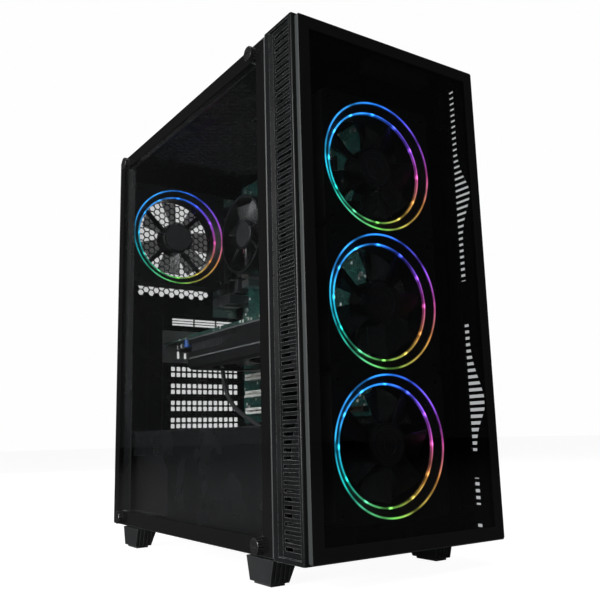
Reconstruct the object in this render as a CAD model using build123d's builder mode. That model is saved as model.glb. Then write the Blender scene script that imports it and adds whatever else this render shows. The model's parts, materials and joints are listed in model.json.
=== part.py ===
from build123d import *
from math import pi, radians, sqrt, tan
import os

os.makedirs("parts", exist_ok=True)

# A mid-tower desktop computer. Millimetres, +Z up, the front faces -Y and the glass side faces -X.
# The origin is the middle of the bounding box, on the surface that the feet stand on.

# Overall sizes
body_width = 204
body_depth = 378
body_height = 422
foot_height = 20

# Sheets, glass and small clearances
steel = 0.8
front_glass_thickness = 4
side_glass_thickness = 4
slide_gap = 0.4
panel_gap = 1
running_gap = 0.05
seat_gap = 0.2
rail_spacer = 4.5
top_filter_thickness = 2
bottom_filter_thickness = 2

# Front bezel
bezel_depth = 40
bezel_wall = 4.5
bezel_face = 3
bezel_lip = 9
glass_inset = 3.8
vent_slot_count = 70
vent_slot_pitch = 5.85
vent_slot_height = 2.9
vent_slot_start = 5
vent_slot_end = 28
vent_first_slot = 9.6
vent_recess = 2.5
vent_recess_front = 3.5
vent_recess_rear = 31
vent_recess_margin = 6

# Case fans
fan_size = 120
fan_depth = 25
fan_hole_pitch = 105
fan_bore = 49.2
fan_setback = 25.4
fan_bank_offset = 3
fan_bank_pitch = 120
fan_bank_bottom = 80.6
rear_fan_height = 332
outer_ring_radius = 58.4
inner_ring_radius = 51
ring_width = 1.8
ring_step = 5.3
ring_depth = 2

# Screws
thumb_head_radius = 6.5
thumb_head_height = 5.5
thumb_shank_radius = 1.7
thumb_shank_past_rail = 3
small_head_radius = 2.9
small_head_height = 2
small_shank_radius = 1.45
small_shank_length = 5
fan_screw_radius = 2.1
fan_screw_head_radius = 4
fan_screw_length = 10

# Chassis
rail_height = 13.5
rail_depth = 33
cable_space = 32
psu_headroom = 7.2
shroud_inset = 4
comb_pitch = 7.6
comb_across = 6.3
top_comb_pitch = 10
top_comb_across = 8.6
tab_length = 11
foot_length = 40
foot_width = 22
foot_taper = 5
pad_height = 2
right_foot_inset = 19

# Motherboard
board_depth = 244
board_height = 305
board_thickness = 1.6
board_rear_gap = 12
board_bottom_height = 108
boss_height = 6.4
boss_radius = 3.5
board_hole_columns = (10.2, 133, 237)
board_hole_rows = (6.4, 163.8, 287)
cpu_from_rear = 106
cpu_from_top = 96
socket_height = 7.4
slot_pitch = 20.32
slot_count = 7
first_slot_height = 231
card_drop = 8
bracket_width = 18.4
bracket_length = 108
slot_opening_start = 5
slot_opening_length = 100
slot_opening_width = 13
io_height = 158.75
io_width = 44.45
io_bottom_height = 241
io_past_board = 7.05

# Processor cooler
cooler_base = 6
cooler_fin_height = 24
cooler_fin_count = 22
cooler_size = 70
cooler_fan_radius = 45
cooler_fan_depth = 25

# Graphics card
gpu_length = 244
gpu_pcb_height = 92
gpu_pcb_thickness = 1.6
gpu_shroud_height = 36
gpu_wall = 2
gpu_fan_radius = 38
gpu_fan_depth = 9

# Power supply and drive
psu_width = 150
psu_height = 86
psu_depth = 140
psu_wall = 1
psu_standoff = 4
psu_fan_radius = 58
drive_length = 147
drive_width = 101.6
drive_height = 26.1

# Faces of the body, worked out from the sizes above
left = -body_width / 2 + thumb_head_height / 2
right = left + body_width
front = -(front_glass_thickness + body_depth + tab_length) / 2 + front_glass_thickness
rear = front + body_depth
base = foot_height
top = base + body_height
middle = (left + right) / 2

panel_front = front + bezel_depth + panel_gap
chassis_left = left + side_glass_thickness + rail_spacer
chassis_right = right - steel - slide_gap
fan_face = front + fan_setback
chassis_front = fan_face + fan_depth
chassis_back = rear - steel
floor_top = base + steel
roof = top - top_filter_thickness
shroud_left = chassis_left + shroud_inset
tray_face = right - cable_space
board_back = tray_face - boss_height
board_face = board_back - board_thickness
board_rear = rear - board_rear_gap
board_front = board_rear - board_depth
board_bottom = base + board_bottom_height
board_top = board_bottom + board_height
cpu_y = board_rear - cpu_from_rear
cpu_z = board_top - cpu_from_top
slot_heights = [base + first_slot_height - n * slot_pitch for n in range(slot_count)]
slots_bottom = slot_heights[-1] - slot_pitch / 2
slots_top = slot_heights[0] + slot_pitch / 2
bracket_right = tray_face - 4
tab_face = bracket_right - bracket_length
front_fan_x = middle + fan_bank_offset
front_fan_heights = [base + fan_bank_bottom + n * fan_bank_pitch for n in (2, 1, 0)]
rear_fan_x = chassis_left + steel + fan_size / 2 + seat_gap
rear_fan_z = base + rear_fan_height
rear_fan_face = chassis_back - fan_depth
io_left = board_face + io_past_board - io_width
io_bottom = base + io_bottom_height
psu_left = shroud_left + steel + 4
psu_front = chassis_back - psu_depth
psu_bottom = floor_top + psu_standoff
shroud_top = psu_bottom + psu_height + psu_headroom + steel
psu_x = psu_left + psu_width / 2
psu_y = psu_front + psu_depth / 2

pieces = {}


def block(x0, x1, y0, y1, z0, z1, mode=Mode.ADD):
    """A box between two corners, added to the part being built."""
    with Locations(((x0 + x1) / 2, (y0 + y1) / 2, (z0 + z1) / 2)):
        Box(x1 - x0, y1 - y0, z1 - z0, mode=mode)


def facing_front(x, y, z):
    return Plane(origin=(x, y, z), x_dir=(1, 0, 0), z_dir=(0, -1, 0))


def facing_rear(x, y, z):
    return Plane(origin=(x, y, z), x_dir=(-1, 0, 0), z_dir=(0, 1, 0))


def facing_left(x, y, z):
    return Plane(origin=(x, y, z), x_dir=(0, -1, 0), z_dir=(-1, 0, 0))


def facing_down(x, y, z):
    return Plane(origin=(x, y, z), x_dir=(1, 0, 0), z_dir=(0, 0, -1))


def facing_up(x, y, z):
    return Plane(origin=(x, y, z), x_dir=(1, 0, 0), z_dir=(0, 0, 1))


def corners(pitch_x, pitch_y, x=0, y=0):
    """The four corners of a rectangle about (x, y)."""
    return [(x + sx * pitch_x / 2, y + sy * pitch_y / 2) for sx in (-1, 1) for sy in (-1, 1)]


def comb(width, height, pitch, clear_of=(), clearance=0):
    """Honeycomb centres that fill a rectangle about the origin, except near the points in clear_of."""
    step = pitch * sqrt(3) / 2
    columns = int((width - pitch) / step)
    rows = int((height - pitch * 1.5) / pitch)
    points = []
    for column in range(columns + 1):
        for row in range(rows + 1):
            x = (column - columns / 2) * step
            y = (row - rows / 2) * pitch + (column % 2 - 0.5) * pitch / 2
            if all((x - cx) ** 2 + (y - cy) ** 2 > clearance ** 2 for cx, cy in clear_of):
                points.append((x, y))
    return points


def placed(template, *places):
    """One sub-part that holds a copy of the template at each place."""
    with BuildPart() as copies:
        with Locations(*places):
            add(template)
    return copies


# Templates. Each stands on its own +Z axis, with z = 0 at the face that it is placed by.

def screw(head_radius, head_height, shank_radius, shank_length):
    with BuildPart() as part:
        Cylinder(head_radius, head_height, align=(Align.CENTER, Align.CENTER, Align.MIN))
        chamfer(part.faces().sort_by(Axis.Z)[-1].edges(), head_height / 5)
        Cylinder(shank_radius, shank_length, align=(Align.CENTER, Align.CENTER, Align.MAX))
    return part.part


small_screw = screw(small_head_radius, small_head_height, small_shank_radius, small_shank_length)
fan_screw = screw(fan_screw_head_radius, small_head_height, fan_screw_radius, fan_screw_length)

# Thumb screws have a ring of grip flutes and a cross recess
flute_count = 18
flute_radius = 0.7
recess_length = 6
recess_width = 1.2
recess_depth = 1.5


def thumb_screw(grip_height, shank_length):
    with BuildPart() as part:
        Cylinder(thumb_head_radius, grip_height, align=(Align.CENTER, Align.CENTER, Align.MIN))
        chamfer(part.faces().sort_by(Axis.Z)[-1].edges(), grip_height / 10)
        with PolarLocations(thumb_head_radius, flute_count):
            Cylinder(flute_radius, grip_height, align=(Align.CENTER, Align.CENTER, Align.MIN),
                     mode=Mode.SUBTRACT)
        with Locations((0, 0, grip_height)):
            for turn in (0, 90):
                Box(recess_length, recess_width, 2 * recess_depth, rotation=(0, 0, turn),
                    mode=Mode.SUBTRACT)
        Cylinder(thumb_shank_radius, shank_length, align=(Align.CENTER, Align.CENTER, Align.MAX))
    return part.part


def ring_of(outer, inner, depth):
    with BuildPart() as part:
        Cylinder(outer, depth, align=(Align.CENTER, Align.CENTER, Align.MAX))
        Cylinder(inner, depth, align=(Align.CENTER, Align.CENTER, Align.MAX), mode=Mode.SUBTRACT)
    return part.part


# A spinning fan: a cup over the motor, swept blades and a steel shaft in one rotor
shaft_radius = 1.5
cup_wall = 1.6
blade_thickness = 1.8
root_share = 0.75
root_angle = 48
tip_angle = 30


def rotor(hub_radius, tip_radius, depth, blade_count, chord, shaft_end):
    with BuildPart() as blade:
        for radius, length, pitch_angle in ((hub_radius - cup_wall, chord * root_share, root_angle),
                                            (tip_radius, chord, tip_angle)):
            with BuildSketch(Plane.YZ.offset(radius)):
                with Locations((0, -depth / 2)):
                    Rectangle(length, blade_thickness, rotation=pitch_angle)
        loft()
    with BuildPart() as part:
        Cylinder(hub_radius, depth, align=(Align.CENTER, Align.CENTER, Align.MAX))
        fillet(part.faces().sort_by(Axis.Z)[-1].edges(), cup_wall)
        with PolarLocations(0, blade_count):
            add(blade.part)
        with Locations((0, 0, -cup_wall)):
            Cylinder(hub_radius - cup_wall, depth, align=(Align.CENTER, Align.CENTER, Align.MAX),
                     mode=Mode.SUBTRACT)
            Cylinder(shaft_radius, shaft_end - cup_wall,
                     align=(Align.CENTER, Align.CENTER, Align.MAX))
    return part.part


# The stator under a rotor: arms, a motor disc, a winding block and the bearing tube
tube_wall = 2.5
winding_gap = 1.5


def stator(frame_radius, hub_radius, back, disc_depth, tube_top, arm_count, arm_width):
    with BuildPart() as part:
        with Locations((0, 0, back)):
            Cylinder(hub_radius, disc_depth, align=(Align.CENTER, Align.CENTER, Align.MIN))
            with PolarLocations(0, arm_count, start_angle=45):
                Box(frame_radius, arm_width, disc_depth, align=(Align.MIN, Align.CENTER, Align.MIN))
            Cylinder(shaft_radius + tube_wall, tube_top - back,
                     align=(Align.CENTER, Align.CENTER, Align.MIN))
            Cylinder(shaft_radius + running_gap, tube_top - back,
                     align=(Align.CENTER, Align.CENTER, Align.MIN), mode=Mode.SUBTRACT)
    return part.part


fan_hub_radius = 19.5
fan_hub_depth = 17
fan_hub_setback = 4
fan_motor_disc = 3
fan_tip_radius = 45.2
fan_corner_radius = 6
fan_stator = stator(fan_bore + 1, fan_hub_radius, -fan_depth, fan_motor_disc, -12, 4, 5)

with BuildPart() as fan_frame:
    with BuildSketch():
        RectangleRounded(fan_size, fan_size, fan_corner_radius)
        with Locations(*corners(fan_hole_pitch, fan_hole_pitch)):
            Circle(fan_screw_radius + running_gap, mode=Mode.SUBTRACT)
    extrude(amount=-fan_depth)
    with BuildSketch(Plane.XZ):
        with BuildLine():
            Polyline(
                (0, 0), (outer_ring_radius, 0), (outer_ring_radius, -ring_depth),
                (outer_ring_radius - ring_width, -ring_depth), (outer_ring_radius - ring_width, -0.6),
                (inner_ring_radius, -ring_step), (inner_ring_radius, -ring_step - ring_depth),
                (fan_bore, -ring_step - ring_depth), (fan_bore, -fan_depth), (0, -fan_depth),
                close=True)
        make_face()
    revolve(axis=Axis.Z, mode=Mode.SUBTRACT)
    add(fan_stator)

fan_rotor = rotor(fan_hub_radius, fan_tip_radius, fan_hub_depth, 7, 28, fan_depth - fan_hub_setback)

with BuildPart() as light_rings:
    add(ring_of(outer_ring_radius, outer_ring_radius - ring_width, ring_depth))
    with Locations((0, 0, -ring_step)):
        add(ring_of(inner_ring_radius, fan_bore, ring_depth))

# Case fans, three behind the front glass and one at the rear, all with the lit side to the front
front_fan_planes = [facing_front(front_fan_x, fan_face, z) for z in front_fan_heights]
rear_fan_plane = facing_front(rear_fan_x, rear_fan_face, rear_fan_z)
for number, plane in enumerate(front_fan_planes, start=1):
    pieces[f"front_fan_frame_{number}"] = placed(fan_frame.part, plane)
    pieces[f"front_fan_rotor_{number}"] = placed(fan_rotor, plane.offset(-fan_hub_setback))
pieces["rear_fan_frame"] = placed(fan_frame.part, rear_fan_plane)
pieces["rear_fan_rotor"] = placed(fan_rotor, rear_fan_plane.offset(-fan_hub_setback))
pieces["fan_light_rings"] = placed(light_rings.part, *front_fan_planes, rear_fan_plane)

front_screw_places = [facing_rear(front_fan_x + dx, chassis_front + steel, z + dz)
                      for z in front_fan_heights for dx, dz in corners(fan_hole_pitch, fan_hole_pitch)]
rear_screw_places = [facing_rear(rear_fan_x + dx, rear, rear_fan_z + dz)
                     for dx, dz in corners(fan_hole_pitch, fan_hole_pitch)]
pieces["fan_screws"] = placed(fan_screw, *front_screw_places, *rear_screw_places)

# Floor pan, with a side rail each side, a honeycomb under the power supply and runners for its filter
vent_width = 120
vent_length = 120
filter_width = 132
filter_length = 150
runner_drop = bottom_filter_thickness + 2 * slide_gap + steel
runner_lip = 3
thumb_rows = (front + 60, rear - 24)
thumb_low = base + 8.5
thumb_high = roof - 7

with BuildPart() as floor_pan:
    with BuildSketch(Plane.XY.offset(base)):
        with Locations(((chassis_left + chassis_right) / 2, (panel_front + chassis_back) / 2)):
            Rectangle(chassis_right - chassis_left, chassis_back - panel_front)
        with Locations((psu_x, psu_y)):
            with Locations(*comb(vent_width, vent_length, top_comb_pitch)):
                RegularPolygon(top_comb_across / 2, 6, major_radius=False, mode=Mode.SUBTRACT)
    extrude(amount=steel)
    for x in (chassis_left, chassis_right - steel):
        block(x, x + steel, panel_front, chassis_back, floor_top, base + rail_height)
    for side in (-1, 1):
        wall = psu_x + side * (filter_width / 2 + slide_gap)
        block(*sorted((wall, wall + side * steel)), chassis_back - filter_length, chassis_back,
              base - runner_drop, base)
        block(*sorted((wall + side * steel, wall - side * runner_lip)),
              chassis_back - filter_length, chassis_back, base - runner_drop, base - runner_drop + steel)
    with BuildSketch(Plane.YZ.offset(chassis_left)):
        with Locations(*[(y, thumb_low) for y in thumb_rows]):
            Circle(thumb_shank_radius + running_gap)
    extrude(amount=steel, mode=Mode.SUBTRACT)
pieces["floor_pan"] = floor_pan

# Rear panel: fan honeycomb, socket opening, card slots, screw window, power supply opening
fan_field_width = 98
fan_field_height = 134
window_width = 20
window_margin = 0.5
psu_opening_border = 7
psu_hole_pitch_x = 138
psu_hole_pitch_z = 64
panel_screw_inset = 7
panel_screw_margin = 45

psu_screw_points = corners(psu_hole_pitch_x, psu_hole_pitch_z, psu_x, psu_bottom + psu_height / 2)
panel_screw_heights = (base + panel_screw_margin, roof - panel_screw_margin)
panel_screw_x = right - panel_screw_inset
fan_field_x = rear_fan_x + 4
fan_field_z = rear_fan_z - 5
fan_screw_offsets = corners(fan_hole_pitch, fan_hole_pitch, rear_fan_x - fan_field_x,
                            rear_fan_z - fan_field_z)

with BuildPart() as rear_panel:
    with BuildSketch(Plane.XZ.offset(-chassis_back)):
        with Locations(((chassis_left + chassis_right) / 2, (base + roof) / 2)):
            Rectangle(chassis_right - chassis_left, roof - base)
        with Locations((fan_field_x, fan_field_z)):
            with Locations(*comb(fan_field_width, fan_field_height, comb_pitch,
                                 fan_screw_offsets, fan_screw_head_radius + comb_pitch / 2)):
                RegularPolygon(comb_across / 2, 6, major_radius=False, mode=Mode.SUBTRACT)
        with Locations(*corners(fan_hole_pitch, fan_hole_pitch, rear_fan_x, rear_fan_z)):
            Circle(fan_screw_radius + seat_gap, mode=Mode.SUBTRACT)
        with Locations((io_left + io_width / 2, io_bottom + io_height / 2)):
            Rectangle(io_width, io_height, mode=Mode.SUBTRACT)
        with Locations(*[(tab_face + slot_opening_start + slot_opening_length / 2, z)
                         for z in slot_heights]):
            Rectangle(slot_opening_length, slot_opening_width, mode=Mode.SUBTRACT)
        with Locations((tab_face - window_width / 2, (slots_bottom + slots_top) / 2)):
            Rectangle(window_width, slots_top - slots_bottom - 2 * window_margin, mode=Mode.SUBTRACT)
        with Locations((psu_x, psu_bottom + psu_height / 2)):
            Rectangle(psu_width - 4 * psu_opening_border, psu_height - psu_opening_border,
                      mode=Mode.SUBTRACT)
        with Locations(*psu_screw_points):
            Circle(small_shank_radius + seat_gap, mode=Mode.SUBTRACT)
        with Locations(*[(panel_screw_x, z) for z in panel_screw_heights]):
            Circle(thumb_shank_radius + running_gap, mode=Mode.SUBTRACT)
    extrude(amount=-steel)
    for x in (chassis_left, chassis_right - steel):
        block(x, x + steel, rear - rail_depth, chassis_back, base + rail_height, roof - rail_height)
    block(tab_face, tab_face + steel, rear, rear + tab_length - steel, slots_bottom, slots_top)
    with BuildSketch(Plane.YZ.offset(tab_face)):
        with Locations(*[(rear + tab_length / 2, z) for z in slot_heights]):
            Circle(small_shank_radius + seat_gap)
    extrude(amount=steel, mode=Mode.SUBTRACT)
pieces["rear_panel"] = rear_panel

# Roof, with a large honeycomb under the top filter and the holes of two more fans
roof_field_width = 138
roof_field_length = 216
roof_field_x = middle - 12
roof_field_y = front + 228
roof_fan_places = [(roof_field_x, roof_field_y + side * (fan_size / 2 + 1)) for side in (-1, 1)]
rail_slots = ((front + 89, front + 118), (front + 199, front + 231))
rail_slot_height = 4
fan_mount_hole = 2.2

roof_holes = [corner for x, y in roof_fan_places
              for corner in corners(fan_hole_pitch, fan_hole_pitch, x, y)]
with BuildPart() as top_panel:
    with BuildSketch(Plane.XY.offset(roof - steel)):
        with Locations(((chassis_left + chassis_right) / 2, (panel_front + chassis_back) / 2)):
            Rectangle(chassis_right - chassis_left, chassis_back - panel_front)
        with Locations((roof_field_x, roof_field_y)):
            with Locations(*comb(roof_field_width, roof_field_length, top_comb_pitch,
                                 [(x - roof_field_x, y - roof_field_y) for x, y in roof_holes],
                                 fan_mount_hole + top_comb_pitch * 0.7)):
                RegularPolygon(top_comb_across / 2, 6, major_radius=False, mode=Mode.SUBTRACT)
        with Locations(*roof_holes):
            Circle(fan_mount_hole, mode=Mode.SUBTRACT)
    extrude(amount=steel)
    for x in (chassis_left, chassis_right - steel):
        block(x, x + steel, panel_front, chassis_back, roof - rail_height, roof - steel)
    with BuildSketch(Plane.YZ.offset(chassis_left)):
        with Locations(*[(y, thumb_high) for y in thumb_rows]):
            Circle(thumb_shank_radius + running_gap)
        with Locations(*[((y0 + y1) / 2, thumb_high) for y0, y1 in rail_slots]):
            SlotOverall(rail_slots[0][1] - rail_slots[0][0], rail_slot_height)
    extrude(amount=steel, mode=Mode.SUBTRACT)
pieces["top_panel"] = top_panel

# Front panel that carries the fans, with side rails and sockets for the bezel's pins
rail_reach = 58
pin_radius = 2.5
pin_gap = 0.3
pin_length = 4
post_radius = 4
post_inset = 18
post_heights = (base + 24, base + 378)
post_places = [(x, z) for x in (left + post_inset, right - post_inset) for z in post_heights]

with BuildPart() as front_panel:
    block(chassis_left + steel, chassis_right - steel, chassis_front, chassis_front + steel,
          floor_top, roof - steel)
    for x in (chassis_left, chassis_right - steel):
        block(x, x + steel, panel_front, front + rail_reach, base + rail_height, roof - rail_height)
    with BuildSketch(Plane.XZ.offset(-chassis_front - steel)):
        with Locations(*[(front_fan_x, z) for z in front_fan_heights]):
            Circle(fan_size / 2 - 2)
            with Locations(*corners(fan_hole_pitch, fan_hole_pitch)):
                Circle(fan_screw_radius + seat_gap)
        with Locations(*post_places):
            Circle(pin_radius + pin_gap)
    extrude(amount=steel, mode=Mode.SUBTRACT)
pieces["front_panel"] = front_panel

# Motherboard tray, with raised bosses, a cut-out behind the processor and cable slots
boss_points = [(board_rear - across, board_top - down)
               for across in board_hole_columns for down in board_hole_rows]
cable_slot_width = 16
cable_slot_length = 56
cable_slot_y = (chassis_front + board_front) / 2
cable_slots = (base + 170, base + 300)
cooler_cutout = 100
tray_front = chassis_front + steel

with BuildPart() as motherboard_tray:
    block(tray_face, tray_face + steel, tray_front, chassis_back, shroud_top, roof - steel)
    with BuildSketch(Plane.YZ.offset(tray_face)):
        with Locations((cpu_y, cpu_z)):
            RectangleRounded(cooler_cutout, cooler_cutout, cooler_cutout / 10)
        with Locations(*[(cable_slot_y, z) for z in cable_slots]):
            RectangleRounded(cable_slot_width, cable_slot_length, cable_slot_width / 3)
    extrude(amount=steel, mode=Mode.SUBTRACT)
    with BuildSketch(Plane.YZ.offset(board_back)):
        with Locations(*boss_points):
            Circle(boss_radius)
    extrude(amount=boss_height)
    with BuildSketch(Plane.YZ.offset(board_back)):
        with Locations(*boss_points):
            Circle(small_shank_radius + running_gap)
    extrude(amount=boss_height + steel, mode=Mode.SUBTRACT)
pieces["motherboard_tray"] = motherboard_tray

# Shroud over the power supply, with a side window and a cable hole in its top
window_outline = [(rear - 123, base + 16), (rear - 18, base + 16), (rear - 18, base + 74),
                  (rear - 108, base + 74), (rear - 123, base + 60)]
shroud_hole_x = middle + 8
shroud_hole_y = psu_front - 7.2
shroud_hole_length = 46
shroud_hole_width = 20

with BuildPart() as psu_shroud:
    block(shroud_left, tray_face + steel, tray_front, chassis_back, shroud_top - steel, shroud_top)
    block(shroud_left, shroud_left + steel, tray_front, chassis_back, floor_top, shroud_top)
    with BuildSketch(Plane.YZ.offset(shroud_left)):
        with BuildLine():
            Polyline(*window_outline, close=True)
        make_face()
    extrude(amount=steel, mode=Mode.SUBTRACT)
    with BuildSketch(Plane.XY.offset(shroud_top - steel)):
        with Locations((shroud_hole_x, shroud_hole_y)):
            SlotOverall(shroud_hole_length, shroud_hole_width, rotation=90)
    extrude(amount=steel, mode=Mode.SUBTRACT)
pieces["psu_shroud"] = psu_shroud

# Four feet, blocks that taper down to a rubber pad, upright on their outer side
foot_drop = foot_height - pad_height
foot_rows = (front + bezel_depth + panel_gap, front + 306)

with BuildPart() as foot:
    with BuildSketch():
        Rectangle(foot_width, foot_length)
    with BuildSketch(Plane.XY.offset(-foot_drop)):
        with Locations((-foot_taper / 2, 0)):
            Rectangle(foot_width - foot_taper, foot_length - 2 * foot_taper)
    loft()

with BuildPart() as pad:
    with Locations((-foot_taper / 2, 0, -foot_drop)):
        Box(foot_width - 2 * foot_taper, foot_length - 3 * foot_taper, pad_height,
            align=(Align.CENTER, Align.CENTER, Align.MAX))

left_feet = [facing_up(left + foot_width / 2, y + foot_length / 2, base) for y in foot_rows]
right_feet = [Plane(origin=(right - right_foot_inset - foot_width / 2, y + foot_length / 2, base),
                    x_dir=(-1, 0, 0), z_dir=(0, 0, 1)) for y in foot_rows]
pieces["case_feet"] = placed(foot.part, *left_feet, *right_feet)
pieces["foot_pads"] = placed(pad.part, *left_feet, *right_feet)

# Card slot covers: the first has long bars, the rest have two rows of square holes
square_hole = 5
square_pitch = 7.1
square_count = 13
bar_length = 28
bar_height = 2.2
bar_pitch = 3.2
cover_slots = (0, 3, 4, 5, 6)
card_slots = (1, 2)


def bracket(low, high):
    """A slot bracket's plate and its screw tab, in the builder that is open."""
    block(tab_face - steel, bracket_right, chassis_back - steel, chassis_back, low, high)
    block(tab_face - steel, tab_face, chassis_back - steel, rear + tab_length, low, high)


with BuildPart() as slot_covers:
    for index in cover_slots:
        bracket(slot_heights[index] - bracket_width / 2, slot_heights[index] + bracket_width / 2)
    with BuildSketch(Plane.XZ.offset(-chassis_back)):
        opening_x = tab_face + slot_opening_start + slot_opening_length / 2
        for index in cover_slots:
            with Locations((opening_x, slot_heights[index])):
                if index == 0:
                    with GridLocations(bar_length + 2, bar_pitch, 3, 3):
                        Rectangle(bar_length, bar_height)
                else:
                    with GridLocations(square_pitch, square_pitch, square_count, 2):
                        RectangleRounded(square_hole, square_hole, square_hole / 6)
    extrude(amount=steel, mode=Mode.SUBTRACT)
    with BuildSketch(Plane.YZ.offset(tab_face - steel)):
        with Locations(*[(rear + tab_length / 2, slot_heights[index]) for index in cover_slots]):
            Circle(small_shank_radius + seat_gap)
    extrude(amount=steel, mode=Mode.SUBTRACT)
pieces["slot_covers"] = slot_covers

# Plate over the window that the slot screws are reached through
retainer_margin = 4
retainer_left = tab_face - window_width - retainer_margin
retainer_right = tab_face - steel - seat_gap

with BuildPart() as slot_retainer_plate:
    with BuildSketch(Plane.XZ.offset(-rear - steel)):
        with Locations(((retainer_left + retainer_right) / 2, (slots_bottom + slots_top) / 2)):
            RectangleRounded(retainer_right - retainer_left,
                             slots_top - slots_bottom + 2 * retainer_margin, 3)
    extrude(amount=steel)
pieces["slot_retainer_plate"] = slot_retainer_plate

# Front bezel: a deep frame with slotted sides, posts with pins, and openings for the controls
wall_left = left + bezel_wall
wall_right = right - bezel_wall
bezel_back = front + bezel_depth
gusset_front = front + 30
gusset = 3
controls_y = front + 21
button_x = middle - 30
button_radius = 7
button_gap = 0.25
button_travel = 1.5
button_rim = 2
button_sink = 0.3
usb_width = 13.2
usb_height = 5.8
usb_places = [(middle + x, controls_y) for x in (0, 20)]
audio_radius = 3.4
audio_places = [(middle + x, controls_y) for x in (38, 49)]
vent_slots_z = [base + vent_first_slot + n * vent_slot_pitch for n in range(vent_slot_count)]
recess_low = vent_slots_z[0] - vent_recess_margin
recess_high = vent_slots_z[-1] + vent_recess_margin

with BuildPart() as front_bezel:
    block(left, right, front, bezel_back, base, top)
    fillet(front_bezel.edges().filter_by(Axis.Z).group_by(Axis.Y)[0], 1.5)
    block(wall_left, wall_right, front + bezel_face, bezel_back, base + bezel_wall, top - bezel_wall,
          mode=Mode.SUBTRACT)
    block(left + bezel_lip, right - bezel_lip, front, front + bezel_face, base + bezel_lip,
          top - bezel_lip, mode=Mode.SUBTRACT)
    with BuildSketch(Plane.XY.offset(recess_low)):
        for wall_face, inward in ((left, 1), (right, -1)):
            with BuildLine():
                Polyline((wall_face, front + vent_recess_front),
                         (wall_face + inward * vent_recess, front + vent_recess_front),
                         (wall_face + inward * vent_recess, front + vent_recess_rear),
                         (wall_face, front + vent_recess_rear + vent_recess), close=True)
            make_face()
    extrude(amount=recess_high - recess_low, mode=Mode.SUBTRACT)
    with BuildSketch(Plane.YZ.offset(left)):
        with Locations(*[(front + (vent_slot_start + vent_slot_end) / 2, z) for z in vent_slots_z]):
            Rectangle(vent_slot_end - vent_slot_start, vent_slot_height)
    extrude(amount=body_width, mode=Mode.SUBTRACT)
    for x, z in post_places:
        wall = wall_left if x < middle else wall_right
        block(*sorted((wall, x)), gusset_front, bezel_back, z - gusset / 2, z + gusset / 2)
    with BuildSketch(Plane.XZ.offset(-gusset_front)):
        with Locations(*post_places):
            Circle(post_radius)
    extrude(amount=-(chassis_front - gusset_front - seat_gap))
    with BuildSketch(Plane.XZ.offset(-chassis_front + seat_gap)):
        with Locations(*post_places):
            Circle(pin_radius)
    extrude(amount=-(pin_length + seat_gap))
    with BuildSketch(Plane.XY.offset(top - bezel_wall)):
        with Locations((button_x, controls_y)):
            Circle(button_radius + button_gap)
        with Locations(*usb_places):
            Rectangle(usb_width + 2 + 2 * seat_gap, usb_height + 2 + 2 * seat_gap)
        with Locations(*audio_places):
            Circle(audio_radius + 1 + seat_gap)
    extrude(amount=bezel_wall, mode=Mode.SUBTRACT)
pieces["front_bezel"] = front_bezel

# Inner guards behind the slotted sides. Their rear edge swells forward twice, like a wave.
guard_thickness = 1
wave_rest = 20.5
wave_crest = 8.3
wave_spans = ((352, 307, 262), (172, 111, 73))
guard_tabs = ((226, 186), (73, 50), (27, 14))
guard_tab_reach = 29

with BuildPart() as vent_guards:
    for x in (wall_left, wall_right - guard_thickness):
        with BuildSketch(Plane.YZ.offset(x)):
            with BuildLine():
                edge_y = front + wave_rest
                last = (edge_y, top - bezel_wall)
                Line((front + bezel_face, top - bezel_wall), last)
                for high, crest, low in wave_spans:
                    Line(last, (edge_y, base + high))
                    last = (edge_y, base + low)
                    Spline((edge_y, base + high), (front + wave_crest, base + crest), last,
                           tangents=((0, -1), (0, -1)))
                Polyline(last, (edge_y, base + bezel_wall), (front + bezel_face, base + bezel_wall),
                         (front + bezel_face, top - bezel_wall))
            make_face()
            for high, low in guard_tabs:
                with Locations((front + (wave_rest + guard_tab_reach) / 2 - 1, base + (high + low) / 2)):
                    Rectangle(guard_tab_reach - wave_rest + 2, high - low)
        extrude(amount=guard_thickness)
pieces["vent_guards"] = vent_guards

# Dark front glass, glued to the bezel
glass_corner = 2
glass_bevel = 0.6

with BuildPart() as front_glass:
    with BuildSketch(Plane.XZ.offset(-front)):
        with Locations((middle, (base + top) / 2)):
            RectangleRounded(body_width - 2 * glass_inset, body_height - 2, glass_corner)
    extrude(amount=front_glass_thickness)
    chamfer(front_glass.faces().sort_by(Axis.Y)[0].edges(), glass_bevel)
pieces["front_glass"] = front_glass

# Power button and port block in the top of the bezel
with BuildPart() as power_button:
    with BuildSketch(Plane.XY.offset(top - button_sink)):
        with Locations((button_x, controls_y)):
            Circle(button_radius)
    extrude(amount=-(bezel_wall + button_rim))
    fillet(power_button.faces().sort_by(Axis.Z)[-1].edges(), 0.6)
    with BuildSketch(Plane.XY.offset(top - bezel_wall - slide_gap)):
        with Locations((button_x, controls_y)):
            Circle(button_radius + button_rim)
    extrude(amount=-button_rim)
pieces["power_button"] = power_button

port_block_depth = 12
port_pocket = 9
with BuildPart() as front_port_block:
    block(usb_places[0][0] - 10, audio_places[-1][0] + 8, controls_y - 8, controls_y + 8,
          top - bezel_wall - port_block_depth, top - bezel_wall)
    with BuildSketch(Plane.XY.offset(top - bezel_wall)):
        with Locations(*usb_places):
            Rectangle(usb_width + 2, usb_height + 2)
        with Locations(*audio_places):
            Circle(audio_radius + 1)
    extrude(amount=bezel_wall - button_sink)
    with BuildSketch(Plane.XY.offset(top - button_sink)):
        with Locations(*usb_places):
            Rectangle(usb_width, usb_height)
            with Locations((0, usb_height / 5)):
                Rectangle(usb_width - 2, usb_height / 3, mode=Mode.SUBTRACT)
        with Locations(*audio_places):
            Circle(audio_radius - 1)
    extrude(amount=-port_pocket, mode=Mode.SUBTRACT)
pieces["front_port_block"] = front_port_block

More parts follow.
